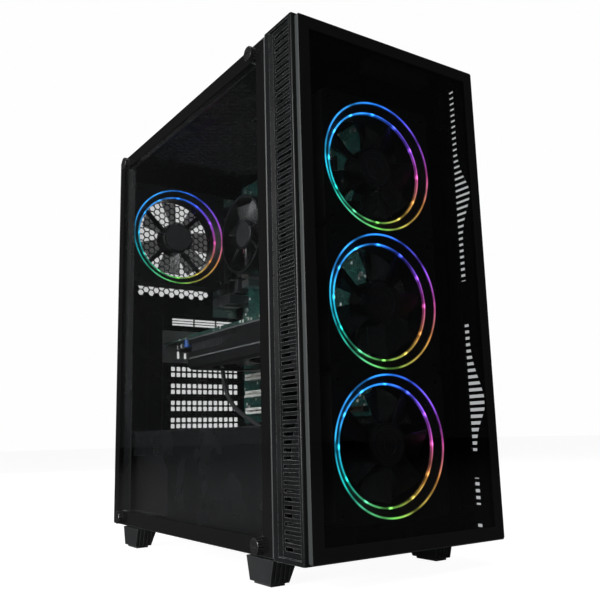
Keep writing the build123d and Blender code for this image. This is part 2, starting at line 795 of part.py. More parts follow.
# Tempered side glass, held by four thumb screws through black spacers
spacer_radius = 7
glass_hole = 2.3
thumb_points = [(y, z) for z in (thumb_high, thumb_low) for y in thumb_rows]

with BuildPart() as side_glass:
    block(left, left + side_glass_thickness, panel_front, rear - panel_gap, base + 1, top - 1)
    chamfer(side_glass.faces().sort_by(Axis.X)[0].edges(), glass_bevel)
    with BuildSketch(Plane.YZ.offset(left)):
        with Locations(*thumb_points):
            Circle(glass_hole)
    extrude(amount=side_glass_thickness, mode=Mode.SUBTRACT)
pieces["side_glass"] = side_glass

with BuildPart() as glass_spacers:
    with BuildSketch(Plane.YZ.offset(left + side_glass_thickness)):
        with Locations(*thumb_points):
            Circle(spacer_radius)
            Circle(glass_hole, mode=Mode.SUBTRACT)
    extrude(amount=rail_spacer)
pieces["glass_spacers"] = glass_spacers

glass_screw = thumb_screw(thumb_head_height,
                          side_glass_thickness + rail_spacer + steel + thumb_shank_past_rail)
for number, (y, z) in enumerate(thumb_points, start=1):
    pieces[f"thumb_screw_{number}"] = placed(glass_screw, facing_left(left, y, z))

# Right side panel: a plain sheet, folded at its rear edge, where two screws hold it
panel_fold = 13
with BuildPart() as right_side_panel:
    block(right - steel, right, panel_front, rear + steel, base + 1, top - 1)
    block(right - panel_fold, right, rear, rear + steel, base + 1, top - 1)
    with BuildSketch(Plane.XZ.offset(-rear - steel)):
        with Locations(*[(panel_screw_x, z) for z in panel_screw_heights]):
            Circle(glass_hole)
    extrude(amount=steel, mode=Mode.SUBTRACT)
pieces["right_side_panel"] = right_side_panel

panel_screw = thumb_screw(thumb_head_height - 1, 2 * steel + thumb_shank_past_rail)
for number, z in enumerate(panel_screw_heights, start=1):
    pieces[f"panel_screw_{number}"] = placed(panel_screw, facing_rear(panel_screw_x, rear + steel, z))

# Dust filters: a magnetic sheet on the roof and a framed screen that slides under the floor
filter_rim = 6
screen = 0.6
pull_length = 6
pull_width = 40


def filter_screen(x, y, low, width, length, thickness):
    """A rimmed screen whose lower face is at low."""
    block(x - width / 2, x + width / 2, y - length / 2, y + length / 2, low, low + thickness)
    block(x - width / 2 + filter_rim, x + width / 2 - filter_rim, y - length / 2 + filter_rim,
          y + length / 2 - filter_rim, low + screen, low + thickness, mode=Mode.SUBTRACT)


with BuildPart() as top_dust_filter:
    filter_screen(roof_field_x, roof_field_y, roof, roof_field_width + 3 * filter_rim,
                  roof_field_length + 3 * filter_rim, top_filter_thickness)
pieces["top_dust_filter"] = top_dust_filter

with BuildPart() as psu_dust_filter:
    low = base - slide_gap - bottom_filter_thickness
    filter_screen(psu_x, chassis_back - filter_length / 2, low, filter_width, filter_length,
                  bottom_filter_thickness)
    block(psu_x - pull_width / 2, psu_x + pull_width / 2, chassis_back, chassis_back + pull_length,
          low, low + bottom_filter_thickness)
pieces["psu_dust_filter"] = psu_dust_filter

# Motherboard and what is soldered to it
with BuildPart() as motherboard:
    block(board_back - board_thickness, board_back, board_front, board_rear, board_bottom, board_top)
    with BuildSketch(Plane.YZ.offset(board_face)):
        with Locations(*boss_points):
            Circle(small_shank_radius + 4 * seat_gap)
    extrude(amount=board_thickness, mode=Mode.SUBTRACT)
pieces["motherboard"] = motherboard

socket_size = 54
dimm_count = 4
dimm_pitch = 9.6
dimm_from_rear = 172
dimm_length = 142
dimm_socket_height = 4
dimm_socket_width = 6.6
module_length = 133.4
module_height = 34
module_thickness = 5
card_socket_height = 11
card_socket_width = 7.4
card_socket_start = 22
card_socket_length = 89
pci_socket_length = 85
groove_depth = 7
card_z = slot_heights[card_slots[0]] - card_drop
white_slots = (3, 4, 5)
power_socket_length = 52
power_socket_width = 10
power_socket_height = 12
power_socket_z = base + 300
dimm_ys = [board_rear - dimm_from_rear - n * dimm_pitch for n in range(dimm_count)]
groove = gpu_pcb_thickness / 2 + seat_gap
card_socket_rear = board_rear - card_socket_start

with BuildPart() as board_sockets:
    block(board_face - socket_height, board_face, cpu_y - socket_size / 2, cpu_y + socket_size / 2,
          cpu_z - socket_size / 2, cpu_z + socket_size / 2)
    for y in dimm_ys:
        block(board_face - dimm_socket_height, board_face, y - dimm_socket_width / 2,
              y + dimm_socket_width / 2, cpu_z - dimm_length / 2, cpu_z + dimm_length / 2)
    block(board_face - card_socket_height, board_face, card_socket_rear - card_socket_length,
          card_socket_rear, card_z - card_socket_width / 2, card_z + card_socket_width / 2)
    block(board_face - card_socket_height, board_face - card_socket_height + groove_depth + 1,
          card_socket_rear - card_socket_length + 2, card_socket_rear - 2,
          card_z - groove, card_z + groove, mode=Mode.SUBTRACT)
    block(board_face - power_socket_height, board_face, board_front + 3,
          board_front + 3 + power_socket_width, power_socket_z - power_socket_length / 2,
          power_socket_z + power_socket_length / 2)
pieces["board_sockets"] = board_sockets

with BuildPart() as white_pci_slots:
    for index in white_slots:
        z = slot_heights[index] - card_drop
        block(board_face - card_socket_height, board_face, card_socket_rear - pci_socket_length,
              card_socket_rear, z - card_socket_width / 2, z + card_socket_width / 2)
        block(board_face - card_socket_height, board_face - card_socket_height + groove_depth,
              card_socket_rear - pci_socket_length + 2, card_socket_rear - 2, z - groove, z + groove,
              mode=Mode.SUBTRACT)
pieces["white_pci_slots"] = white_pci_slots

with BuildPart() as ram_modules:
    for y in dimm_ys[1::2]:
        block(board_face - dimm_socket_height - module_height, board_face - dimm_socket_height,
              y - module_thickness / 2, y + module_thickness / 2, cpu_z - module_length / 2,
              cpu_z + module_length / 2)
        for side in (-1, 1):
            block(board_face - dimm_socket_height - module_height * 0.8,
                  board_face - dimm_socket_height - module_height * 0.2,
                  *sorted((y + side * module_thickness / 2, y + side * (module_thickness / 2 - 0.6))),
                  cpu_z - module_length * 0.35, cpu_z + module_length * 0.35, mode=Mode.SUBTRACT)
pieces["ram_modules"] = ram_modules

regulator_width = 16
regulator_length = 92
regulator_height = 22
regulator_from_rear = 44
regulator_fins = 9
chipset_size = 42
chipset_height = 9
chipset_from_rear = 196
chipset_from_bottom = 66
fin_gap = 3

with BuildPart() as board_heatsinks:
    regulator_y = board_rear - regulator_from_rear
    block(board_face - regulator_height, board_face, regulator_y - regulator_width / 2,
          regulator_y + regulator_width / 2, cpu_z - regulator_length / 2, cpu_z + regulator_length / 2)
    fin_pitch = regulator_length / regulator_fins
    for n in range(1, regulator_fins):
        z = cpu_z - regulator_length / 2 + n * fin_pitch
        block(board_face - regulator_height, board_face - regulator_height / 3,
              regulator_y - regulator_width / 2, regulator_y + regulator_width / 2,
              z - fin_gap / 2, z + fin_gap / 2, mode=Mode.SUBTRACT)
    chipset_y = board_rear - chipset_from_rear
    chipset_z = board_bottom + chipset_from_bottom
    block(board_face - chipset_height, board_face, chipset_y - chipset_size / 2,
          chipset_y + chipset_size / 2, chipset_z - chipset_size / 2, chipset_z + chipset_size / 2)
    for n in (-1, 0, 1):
        z = chipset_z + n * chipset_size / 4
        block(board_face - chipset_height, board_face - chipset_height / 2,
              chipset_y - chipset_size / 2, chipset_y + chipset_size / 2,
              z - fin_gap / 2, z + fin_gap / 2, mode=Mode.SUBTRACT)
pieces["board_heatsinks"] = board_heatsinks

# Rear sockets of the board: (height above the aperture's base, length up the board, reach off the board)
port_depth = 20
shell = 1.2
shield_thickness = 0.5
rear_ports = ((14, 12, 28), (30, 16, 16), (50, 34, 12), (88, 16, 28), (108, 16, 28), (128, 13, 25))
port_step = 3.2

with BuildPart() as rear_io_ports:
    for start, length, reach in rear_ports:
        low = io_bottom + start
        block(board_face - reach, board_face, board_rear - port_depth + 6, rear - seat_gap, low, low + length)
        block(board_face - reach + shell, board_face - port_step, rear - port_depth / 2, rear,
              low + shell, low + length - shell, mode=Mode.SUBTRACT)
        block(board_face - reach * 0.6, board_face - reach * 0.6 + shell, rear - port_depth / 2,
              rear - 3 * shell, low + 3 * shell, low + length - 3 * shell)
pieces["rear_io_ports"] = rear_io_ports

with BuildPart() as io_shield:
    block(io_left, io_left + io_width, chassis_back, chassis_back + shield_thickness,
          io_bottom, io_bottom + io_height)
    for start, length, reach in rear_ports:
        low = io_bottom + start
        block(board_face - reach - seat_gap, board_face + seat_gap, chassis_back,
              chassis_back + shield_thickness, low - seat_gap, low + length + seat_gap,
              mode=Mode.SUBTRACT)
pieces["io_shield"] = io_shield

# Processor cooler: finned aluminium under a round fan that faces the side glass
cooler_foot = board_face - socket_height
fins_face = cooler_foot - cooler_base - cooler_fin_height
fin_thickness = 1.2
with BuildPart() as cpu_heatsink:
    block(cooler_foot - cooler_base, cooler_foot, cpu_y - cooler_size / 2, cpu_y + cooler_size / 2,
          cpu_z - cooler_size / 2, cpu_z + cooler_size / 2)
    fin_step = (cooler_size - fin_thickness) / (cooler_fin_count - 1)
    for n in range(cooler_fin_count):
        y = cpu_y - cooler_size / 2 + n * fin_step
        block(fins_face, cooler_foot - cooler_base, y, y + fin_thickness,
              cpu_z - cooler_size / 2, cpu_z + cooler_size / 2)
pieces["cpu_heatsink"] = cpu_heatsink

cooler_ring = 2.4
cooler_flare = 3
cooler_hub_radius = 17
cooler_fan_face = fins_face - cooler_fan_depth
with BuildPart() as cooler_frame:
    with BuildSketch(Plane.XZ):
        with BuildLine():
            Polyline((cooler_fan_radius - cooler_ring, 0), (cooler_fan_radius, 0),
                     (cooler_fan_radius, -cooler_fan_depth * 0.6),
                     (cooler_fan_radius - cooler_flare, -cooler_fan_depth),
                     (cooler_fan_radius - cooler_flare - cooler_ring, -cooler_fan_depth),
                     (cooler_fan_radius - cooler_ring, -cooler_fan_depth * 0.6), close=True)
        make_face()
    revolve(axis=Axis.Z)
    add(stator(cooler_fan_radius - cooler_flare - cooler_ring / 2, cooler_hub_radius, -cooler_fan_depth,
               2.5, -12, 4, 5))
cooler_plane = facing_left(cooler_fan_face, cpu_y, cpu_z)
pieces["cpu_fan_frame"] = placed(cooler_frame.part, cooler_plane)
cooler_rotor = rotor(cooler_hub_radius, cooler_fan_radius - 6, 17, 7, 22, cooler_fan_depth - 4)
pieces["cpu_fan_rotor"] = placed(cooler_rotor, cooler_plane.offset(-3))

# Graphics card in the second and third slots, with its fans below
gpu_rear = chassis_back - steel
gpu_front = gpu_rear - gpu_length
gpu_right = board_face - card_socket_height - seat_gap
gpu_left = gpu_right - gpu_pcb_height
gpu_low = card_z - gpu_pcb_thickness / 2
gpu_shroud_rear = gpu_rear - 66
backplate_thickness = 1.5
finger_length = card_socket_length - 5

with BuildPart() as gpu_board:
    block(gpu_left, gpu_right, gpu_front, gpu_rear - seat_gap, gpu_low, gpu_low + gpu_pcb_thickness)
    block(gpu_right, board_face - card_socket_height + groove_depth, card_socket_rear - finger_length - 2.5,
          card_socket_rear - 2.5, gpu_low, gpu_low + gpu_pcb_thickness)
    block(gpu_left, gpu_right, gpu_front, gpu_shroud_rear, gpu_low + gpu_pcb_thickness,
          gpu_low + gpu_pcb_thickness + backplate_thickness)
pieces["gpu_board"] = gpu_board

video_ports = ((20, 39), (44, 60), (65, 81))
with BuildPart() as gpu_bracket:
    bracket(slot_heights[card_slots[1]] - bracket_width / 2, slot_heights[card_slots[0]] + bracket_width / 2)
    for start, end in video_ports:
        block(tab_face + start, tab_face + end, chassis_back - steel, chassis_back,
              gpu_low - 8, gpu_low - 2, mode=Mode.SUBTRACT)
    with BuildSketch(Plane.XZ.offset(-chassis_back)):
        with Locations((tab_face + slot_opening_start + slot_opening_length / 2,
                        slot_heights[card_slots[1]])):
            with GridLocations(9, 1, 9, 1):
                SlotOverall(9, 3, rotation=90)
    extrude(amount=steel, mode=Mode.SUBTRACT)
    with BuildSketch(Plane.YZ.offset(tab_face - steel)):
        with Locations(*[(rear + tab_length / 2, slot_heights[index]) for index in card_slots]):
            Circle(small_shank_radius + seat_gap)
    extrude(amount=steel, mode=Mode.SUBTRACT)
pieces["gpu_bracket"] = gpu_bracket

gpu_sink_top = gpu_low - 1
gpu_fan_top = gpu_low - gpu_shroud_height + gpu_fan_depth + 3
gpu_sink_low = gpu_fan_top + 3
gpu_sink_fins = 30
gpu_post_radius = shaft_radius + tube_wall
gpu_fan_ys = [gpu_front + 8 + gpu_fan_radius, gpu_front + 14 + 3 * gpu_fan_radius]
gpu_x = (gpu_left + gpu_right) / 2
gpu_inner_left = gpu_left + gpu_wall + 1
gpu_inner_right = gpu_right - gpu_wall - 1

with BuildPart() as gpu_heatsink:
    block(gpu_inner_left, gpu_inner_right, gpu_front + 4, gpu_shroud_rear - 2, gpu_sink_top - 2.5, gpu_low)
    gpu_fin_step = (gpu_shroud_rear - gpu_front - 8) / (gpu_sink_fins - 1)
    for n in range(gpu_sink_fins):
        y = gpu_front + 4 + n * gpu_fin_step
        block(gpu_inner_left, gpu_inner_right, y, y + 1, gpu_sink_low, gpu_sink_top)
    for y in gpu_fan_ys:
        with Locations((gpu_x, y, gpu_sink_top)):
            Cylinder(gpu_post_radius, gpu_sink_top - gpu_fan_top + 5,
                     align=(Align.CENTER, Align.CENTER, Align.MAX))
            Cylinder(shaft_radius + running_gap, gpu_sink_top - gpu_fan_top + 5,
                     align=(Align.CENTER, Align.CENTER, Align.MAX), mode=Mode.SUBTRACT)
pieces["gpu_heatsink"] = gpu_heatsink

shroud_bottom = gpu_low - gpu_shroud_height
gpu_cutaway = [(gpu_front + 62, gpu_low - 7), (gpu_shroud_rear + 1, gpu_low - 7),
               (gpu_shroud_rear + 1, gpu_low - 16), (gpu_front + 104, gpu_low - 16)]
with BuildPart() as gpu_shroud:
    block(gpu_left, gpu_right, gpu_front, gpu_shroud_rear, shroud_bottom, gpu_low)
    chamfer(gpu_shroud.faces().sort_by(Axis.Z)[0].edges(), 3)
    block(gpu_left + gpu_wall, gpu_right - gpu_wall, gpu_front + gpu_wall, gpu_shroud_rear,
          shroud_bottom + gpu_wall, gpu_low, mode=Mode.SUBTRACT)
    with BuildSketch(Plane.XY.offset(shroud_bottom)):
        with Locations(*[(gpu_x, y) for y in gpu_fan_ys]):
            Circle(gpu_fan_radius)
    extrude(amount=gpu_wall, mode=Mode.SUBTRACT)
    with BuildSketch(Plane.YZ.offset(gpu_left)):
        with BuildLine():
            Polyline(*gpu_cutaway, close=True)
        make_face()
    extrude(amount=gpu_wall, mode=Mode.SUBTRACT)
pieces["gpu_shroud"] = gpu_shroud

gpu_rotor = rotor(12, gpu_fan_radius - 5, gpu_fan_depth, 9, 15, gpu_fan_depth + 4)
for number, y in enumerate(gpu_fan_ys, start=1):
    pieces[f"gpu_fan_rotor_{number}"] = placed(gpu_rotor, facing_down(gpu_x, y, gpu_fan_top - gpu_fan_depth))

# Power supply: a folded steel box with a wire guard and fan below, and its inlet and switch behind
guard_rings = (12, 24, 36, 48)
guard_bar = 2
inlet_width = 28
inlet_height = 20
inlet_depth = 16
inlet_x = psu_x - 30
rocker_width = 13
rocker_height = 20
rocker_x = psu_x - 52.5
rocker_depth = 8
psu_mid = psu_bottom + psu_height / 2
psu_vent_x = psu_x + 24
socket_flange = 2

with BuildPart() as psu_case:
    block(psu_left, psu_left + psu_width, psu_front, chassis_back, psu_bottom, psu_bottom + psu_height)
    block(psu_left + psu_wall, psu_left + psu_width - psu_wall, psu_front + psu_wall,
          chassis_back - psu_wall, psu_bottom + psu_wall, psu_bottom + psu_height - psu_wall,
          mode=Mode.SUBTRACT)
    with BuildSketch(Plane.XY.offset(psu_bottom)):
        with Locations((psu_x, psu_y)):
            Circle(psu_fan_radius)
            for radius in guard_rings:
                Circle(radius + guard_bar / 2, mode=Mode.SUBTRACT)
                Circle(radius - guard_bar / 2)
            Rectangle(2 * psu_fan_radius, guard_bar, mode=Mode.SUBTRACT)
            Rectangle(guard_bar, 2 * psu_fan_radius, mode=Mode.SUBTRACT)
            Circle(guard_rings[0], mode=Mode.SUBTRACT)
    extrude(amount=psu_wall, mode=Mode.SUBTRACT)
    with Locations((psu_x, psu_y, psu_bottom)):
        Cylinder(shaft_radius + tube_wall, 14, align=(Align.CENTER, Align.CENTER, Align.MIN))
        Cylinder(shaft_radius + running_gap, 14, align=(Align.CENTER, Align.CENTER, Align.MIN),
                 mode=Mode.SUBTRACT)
    for x, width, height in ((inlet_x, inlet_width - 2, inlet_height - 2),
                             (rocker_x, rocker_width, rocker_height)):
        block(x - width / 2, x + width / 2, chassis_back - psu_wall, chassis_back,
              psu_mid - height / 2, psu_mid + height / 2, mode=Mode.SUBTRACT)
    with BuildSketch(Plane.XZ.offset(-chassis_back)):
        with Locations((psu_vent_x, psu_mid)):
            with Locations(*comb(psu_width - 80, psu_height - 12, top_comb_pitch)):
                RegularPolygon(top_comb_across / 2, 6, major_radius=False)
        with Locations(*psu_screw_points):
            Circle(small_shank_radius + running_gap)
    extrude(amount=psu_wall, mode=Mode.SUBTRACT)
pieces["psu_case"] = psu_case

psu_rotor = rotor(fan_hub_radius, psu_fan_radius - 7, fan_hub_depth, 7, 30, fan_hub_depth + 5)
pieces["psu_fan_rotor"] = placed(psu_rotor, facing_up(psu_x, psu_y, psu_bottom + 6 + fan_hub_depth))

# Mains inlet with three pins, and the rocker switch beside it
pin_places = ((-7, -2), (0, 2), (7, -2))
with BuildPart() as psu_inlet:
    block(inlet_x - inlet_width / 2 + 1 + seat_gap, inlet_x + inlet_width / 2 - 1 - seat_gap,
          chassis_back - inlet_depth, chassis_back, psu_mid - inlet_height / 2 + 1 + seat_gap,
          psu_mid + inlet_height / 2 - 1 - seat_gap)
    block(inlet_x - inlet_width / 2, inlet_x + inlet_width / 2, chassis_back,
          chassis_back + socket_flange, psu_mid - inlet_height / 2, psu_mid + inlet_height / 2)
    block(inlet_x - inlet_width / 2 + 3, inlet_x + inlet_width / 2 - 3, chassis_back - inlet_depth + 2,
          chassis_back + socket_flange, psu_mid - inlet_height / 2 + 3, psu_mid + inlet_height / 2 - 3,
          mode=Mode.SUBTRACT)
    for x, z in pin_places:
        block(inlet_x + x - 1, inlet_x + x + 1, chassis_back - inlet_depth + 2, chassis_back - 3,
              psu_mid + z - 2, psu_mid + z + 2)
pieces["psu_inlet"] = psu_inlet

rocker_center = chassis_back - rocker_depth
rocker_radius = rocker_height / 2 - slide_gap
rocker_notch = 2
with BuildPart() as psu_rocker:
    with BuildSketch(Plane.YZ.offset(rocker_x - rocker_width / 2 + slide_gap)):
        with Locations((rocker_center, psu_mid)):
            Circle(rocker_radius)
            with Locations((-rocker_radius / 2, 0)):
                Rectangle(rocker_radius, 2 * rocker_radius, mode=Mode.SUBTRACT)
            with Locations((rocker_radius, rocker_notch)):
                Rectangle(rocker_notch, rocker_height / 2, rotation=14, mode=Mode.SUBTRACT)
    extrude(amount=rocker_width - 2 * slide_gap)
pieces["psu_rocker"] = psu_rocker

# Hard drive on the floor under the shroud, ahead of the power supply
drive_x = middle - 8
drive_y = chassis_front + 22
with BuildPart() as hard_drive:
    block(drive_x - drive_width / 2, drive_x + drive_width / 2, drive_y, drive_y + drive_length,
          floor_top, floor_top + drive_height)
    fillet(hard_drive.edges().filter_by(Axis.Z), 3)
    with Locations((drive_x, drive_y + drive_length * 0.6, floor_top + drive_height - 1)):
        Cylinder(drive_width * 0.42, 1, align=(Align.CENTER, Align.CENTER, Align.MIN),
                 mode=Mode.SUBTRACT)
pieces["hard_drive"] = hard_drive

# Small screws: board, slots and power supply
board_screw_places = [facing_left(board_face, y, z) for y, z in boss_points]
slot_screw_places = [facing_left(tab_face - steel, rear + tab_length / 2, z) for z in slot_heights]
psu_screw_places = [facing_rear(x, rear, z) for x, z in psu_screw_points]
pieces["small_screws"] = placed(small_screw, *board_screw_places, *slot_screw_places, *psu_screw_places)


# Cables that both ends hold. Each is straight runs joined by arcs as large as the runs allow.
arc_share = 0.45


def cable(points, diameter):
    """A round cable along the points; prints its length, arc radii and volume check."""
    radii = []
    for before, here, after in zip(points, points[1:], points[2:]):
        run_in = Vector(*here) - Vector(*before)
        run_out = Vector(*after) - Vector(*here)
        turn = radians(run_in.get_angle(run_out))
        radii.append(arc_share * min(run_in.length, run_out.length) / tan(turn / 2))
    with BuildPart() as part:
        with BuildLine() as route:
            FilletPolyline(*points, radius=radii)
        with BuildSketch(Plane(origin=points[0], z_dir=Vector(*points[1]) - Vector(*points[0]))):
            Circle(diameter / 2)
        sweep(path=route.wires()[0])
    length = route.wires()[0].length
    print("cable", round(length, 1), "mm, radii", [round(radius, 1) for radius in radii],
          "volume ratio", round(part.part.volume / (pi * diameter ** 2 / 4 * length), 4))
    return part


gpu_cable_diameter = 5
gpu_cable_x = shroud_hole_x
gpu_power_route = [
    (gpu_cable_x, rear - 56, gpu_low),
    (gpu_cable_x, rear - 56, gpu_low - 28),
    (gpu_cable_x, rear - 62, gpu_low - 56),
    (gpu_cable_x, rear - 80, gpu_low - 76),
    (gpu_cable_x, rear - 108, gpu_low - 89),
    (gpu_cable_x, rear - 137, gpu_low - 99),
    (gpu_cable_x, psu_front - 22, shroud_top - 10),
    (gpu_cable_x, psu_front - 37, psu_mid + 18),
    (gpu_cable_x, psu_front - 24, psu_mid - 3),
    (gpu_cable_x, psu_front, psu_mid - 3),
]
pieces["gpu_power_cable"] = cable(gpu_power_route, gpu_cable_diameter)

board_cable_diameter = 6
board_socket_y = board_front + 3 + power_socket_width / 2
behind_tray = tray_face + cable_space / 2
board_power_route = [
    (board_face - power_socket_height, board_socket_y, power_socket_z),
    (board_face - power_socket_height - 44, board_socket_y, power_socket_z),
    (board_face - power_socket_height - 44, cable_slot_y, power_socket_z),
    (board_face - power_socket_height, cable_slot_y + 1, power_socket_z - 3),
    (behind_tray - 2, cable_slot_y, power_socket_z - 14),
    (behind_tray + 1, cable_slot_y, power_socket_z - 60),
    (behind_tray, cable_slot_y + 2, power_socket_z - 110),
    (behind_tray + 1, cable_slot_y, power_socket_z - 160),
    (behind_tray, cable_slot_y + 2, power_socket_z - 208),
    (behind_tray - 7, cable_slot_y + 14, power_socket_z - 238),
    (behind_tray - 27, cable_slot_y + 44, psu_mid + 4),
    (behind_tray - 50, psu_front - 72, psu_mid),
    (gpu_cable_x + 12, psu_front - 32, psu_mid - 2),
    (gpu_cable_x + 12, psu_front, psu_mid - 2),
]
pieces["board_power_cable"] = cable(board_power_route, board_cable_diameter)

for name, piece in pieces.items():
    piece.part.label = name
    export_step(piece.part, f"parts/{name}.step")
print(len(pieces), "pieces")
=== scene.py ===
import json
from math import radians
import bpy
from mathutils import Matrix, Vector


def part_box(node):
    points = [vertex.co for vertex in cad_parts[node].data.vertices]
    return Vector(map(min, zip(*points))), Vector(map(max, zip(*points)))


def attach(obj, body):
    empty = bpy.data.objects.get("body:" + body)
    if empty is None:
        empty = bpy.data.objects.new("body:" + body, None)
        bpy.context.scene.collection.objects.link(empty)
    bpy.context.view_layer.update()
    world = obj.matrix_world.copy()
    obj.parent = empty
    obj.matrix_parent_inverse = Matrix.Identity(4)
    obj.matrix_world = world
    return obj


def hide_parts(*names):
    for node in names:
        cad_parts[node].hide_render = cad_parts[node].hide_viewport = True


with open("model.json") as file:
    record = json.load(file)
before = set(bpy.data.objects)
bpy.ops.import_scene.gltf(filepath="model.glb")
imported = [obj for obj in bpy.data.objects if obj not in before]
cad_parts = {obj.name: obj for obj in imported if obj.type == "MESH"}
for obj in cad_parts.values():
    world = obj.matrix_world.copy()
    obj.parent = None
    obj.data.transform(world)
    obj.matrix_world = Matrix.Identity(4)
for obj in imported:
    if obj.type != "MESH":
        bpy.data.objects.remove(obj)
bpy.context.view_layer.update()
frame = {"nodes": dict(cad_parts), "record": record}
nodes = frame["nodes"]
print("frame loaded:", len(nodes), "nodes")

# Camera, low at the front left corner
view = {"place": (-0.39545, -0.6328, 0.1091), "turn": 34.11, "tilt": 10.59, "roll": -1.495, "lens": 43.93}
cameraData = bpy.data.cameras.new("camera")
cameraData.lens = view["lens"]
cameraData.sensor_width = 36
camera = bpy.data.objects.new("camera", cameraData)
bpy.context.scene.collection.objects.link(camera)
camera.matrix_world = (Matrix.Translation(view["place"])
                       @ Matrix.Rotation(radians(-view["turn"]), 4, "Z")
                       @ Matrix.Rotation(radians(90 + view["tilt"]), 4, "X")
                       @ Matrix.Rotation(radians(view["roll"]), 4, "Z"))
bpy.context.scene.camera = camera
bpy.context.scene.view_settings.view_transform = "Standard"


# Small helpers for node trees

def addNode(tree, kind, settings=None, **sockets):
    # sockets are given by name, or by number as i0, i1 and so on
    node = tree.nodes.new("ShaderNode" + kind)
    for key, value in (settings or {}).items():
        setattr(node, key, value)
    for key, value in sockets.items():
        socket = int(key[1:]) if key[0] == "i" and key[1:].isdigit() else key
        node.inputs[socket].default_value = value
    return node


def wire(tree, *pairs):
    for source, target in pairs:
        tree.links.new(source, target)


def ramp(tree, source, stops, constant=False):
    node = tree.nodes.new("ShaderNodeValToRGB")
    if constant:
        node.color_ramp.interpolation = "CONSTANT"
    while len(node.color_ramp.elements) < len(stops):
        node.color_ramp.elements.new(0.5)
    for element, (place, colour) in zip(node.color_ramp.elements, stops):
        element.position = place
        element.color = (*colour, 1) if len(colour) == 3 else colour
    tree.links.new(source, node.inputs["Fac"])
    return node.outputs["Color"]


def newGroup(name, inputs, outputs):
    group = bpy.data.node_groups.new(name, "ShaderNodeTree")
    for socket, value in inputs:
        kind = "NodeSocketVector" if socket == "Vector" else "NodeSocketFloat"
        made = group.interface.new_socket(socket, in_out="INPUT", socket_type=kind)
        if socket != "Vector":
            made.default_value = value
    for socket in outputs:
        group.interface.new_socket(socket, in_out="OUTPUT", socket_type="NodeSocketFloat")
    return group, group.nodes.new("NodeGroupInput"), group.nodes.new("NodeGroupOutput")


def grainGroup():
    # fine grain for the bump, and a slow cloud that shifts colour and gloss
    group, start, end = newGroup("surfaceGrain", [("Vector", None), ("Scale", 900), ("Cloud", 25)],
                                 ["Height", "Cloud"])
    fine = addNode(group, "TexNoise", Detail=3, Roughness=0.6)
    slow = addNode(group, "TexNoise", Detail=4, Roughness=0.55)
    wire(group, (start.outputs["Vector"], fine.inputs["Vector"]),
         (start.outputs["Scale"], fine.inputs["Scale"]),
         (start.outputs["Vector"], slow.inputs["Vector"]), (start.outputs["Cloud"], slow.inputs["Scale"]),
         (fine.outputs["Fac"], end.inputs["Height"]), (slow.outputs["Fac"], end.inputs["Cloud"]))
    return group


def edgeWearAndHighlightGroup():
    # a mask along sharp edges, broken up by noise, for lighter edges that are partly rubbed wear and partly
    # painted highlight
    group, start, end = newGroup("edgeWearAndHighlight", [("Vector", None), ("Width", 0.0006), ("Breaks", 240)], ["Mask"])
    soft = addNode(group, "Bevel", {"samples": 4})
    geometry = addNode(group, "NewGeometry")
    facing = addNode(group, "VectorMath", {"operation": "DOT_PRODUCT"})
    turned = addNode(group, "Math", {"operation": "SUBTRACT"}, i0=1.0)
    noise = addNode(group, "TexNoise", Detail=3)
    broken = addNode(group, "Math", {"operation": "MULTIPLY"})
    shape = addNode(group, "MapRange", i1=0.03, i2=0.16)
    wire(group, (start.outputs["Width"], soft.inputs["Radius"]), (soft.outputs["Normal"], facing.inputs[0]),
         (geometry.outputs["Normal"], facing.inputs[1]), (facing.outputs["Value"], turned.inputs[1]),
         (start.outputs["Vector"], noise.inputs["Vector"]), (start.outputs["Breaks"], noise.inputs["Scale"]),
         (turned.outputs["Value"], broken.inputs[0]), (noise.outputs["Fac"], broken.inputs[1]),
         (broken.outputs["Value"], shape.inputs["Value"]), (shape.outputs["Result"], end.inputs["Mask"]))
    return group


grain = grainGroup()
wearAndHighlight = edgeWearAndHighlightGroup()


def placeGroup(tree, group, vector, **values):
    node = tree.nodes.new("ShaderNodeGroup")
    node.node_tree = group
    tree.links.new(vector, node.inputs["Vector"])
    for key, value in values.items():
        node.inputs[key].default_value = value
    return node


def startMaterial(name):
    material = bpy.data.materials.new(name)
    material.use_nodes = True
    tree = material.node_tree
    coords = tree.nodes.new("ShaderNodeTexCoord").outputs["Object"]
    return material, tree, tree.nodes["Principled BSDF"], coords


def bumpFrom(tree, shader, height, distance, strength=1.0):
    bump = addNode(tree, "Bump", Strength=strength, Distance=distance)
    wire(tree, (height, bump.inputs["Height"]), (bump.outputs["Normal"], shader.inputs["Normal"]))


def mixColours(tree, factor, first, second):
    mix = addNode(tree, "Mix", {"data_type": "RGBA"})
    for name, value in (("A", first), ("B", second)):
        socket = [entry for entry in mix.inputs if entry.name == name and entry.type == "RGBA"][0]
        if isinstance(value, tuple):
            socket.default_value = (*value, 1)
        else:
            tree.links.new(value, socket)
    tree.links.new(factor, mix.inputs[0])
    return [entry for entry in mix.outputs if entry.type == "RGBA"][0]


coatRoughness = 0.08


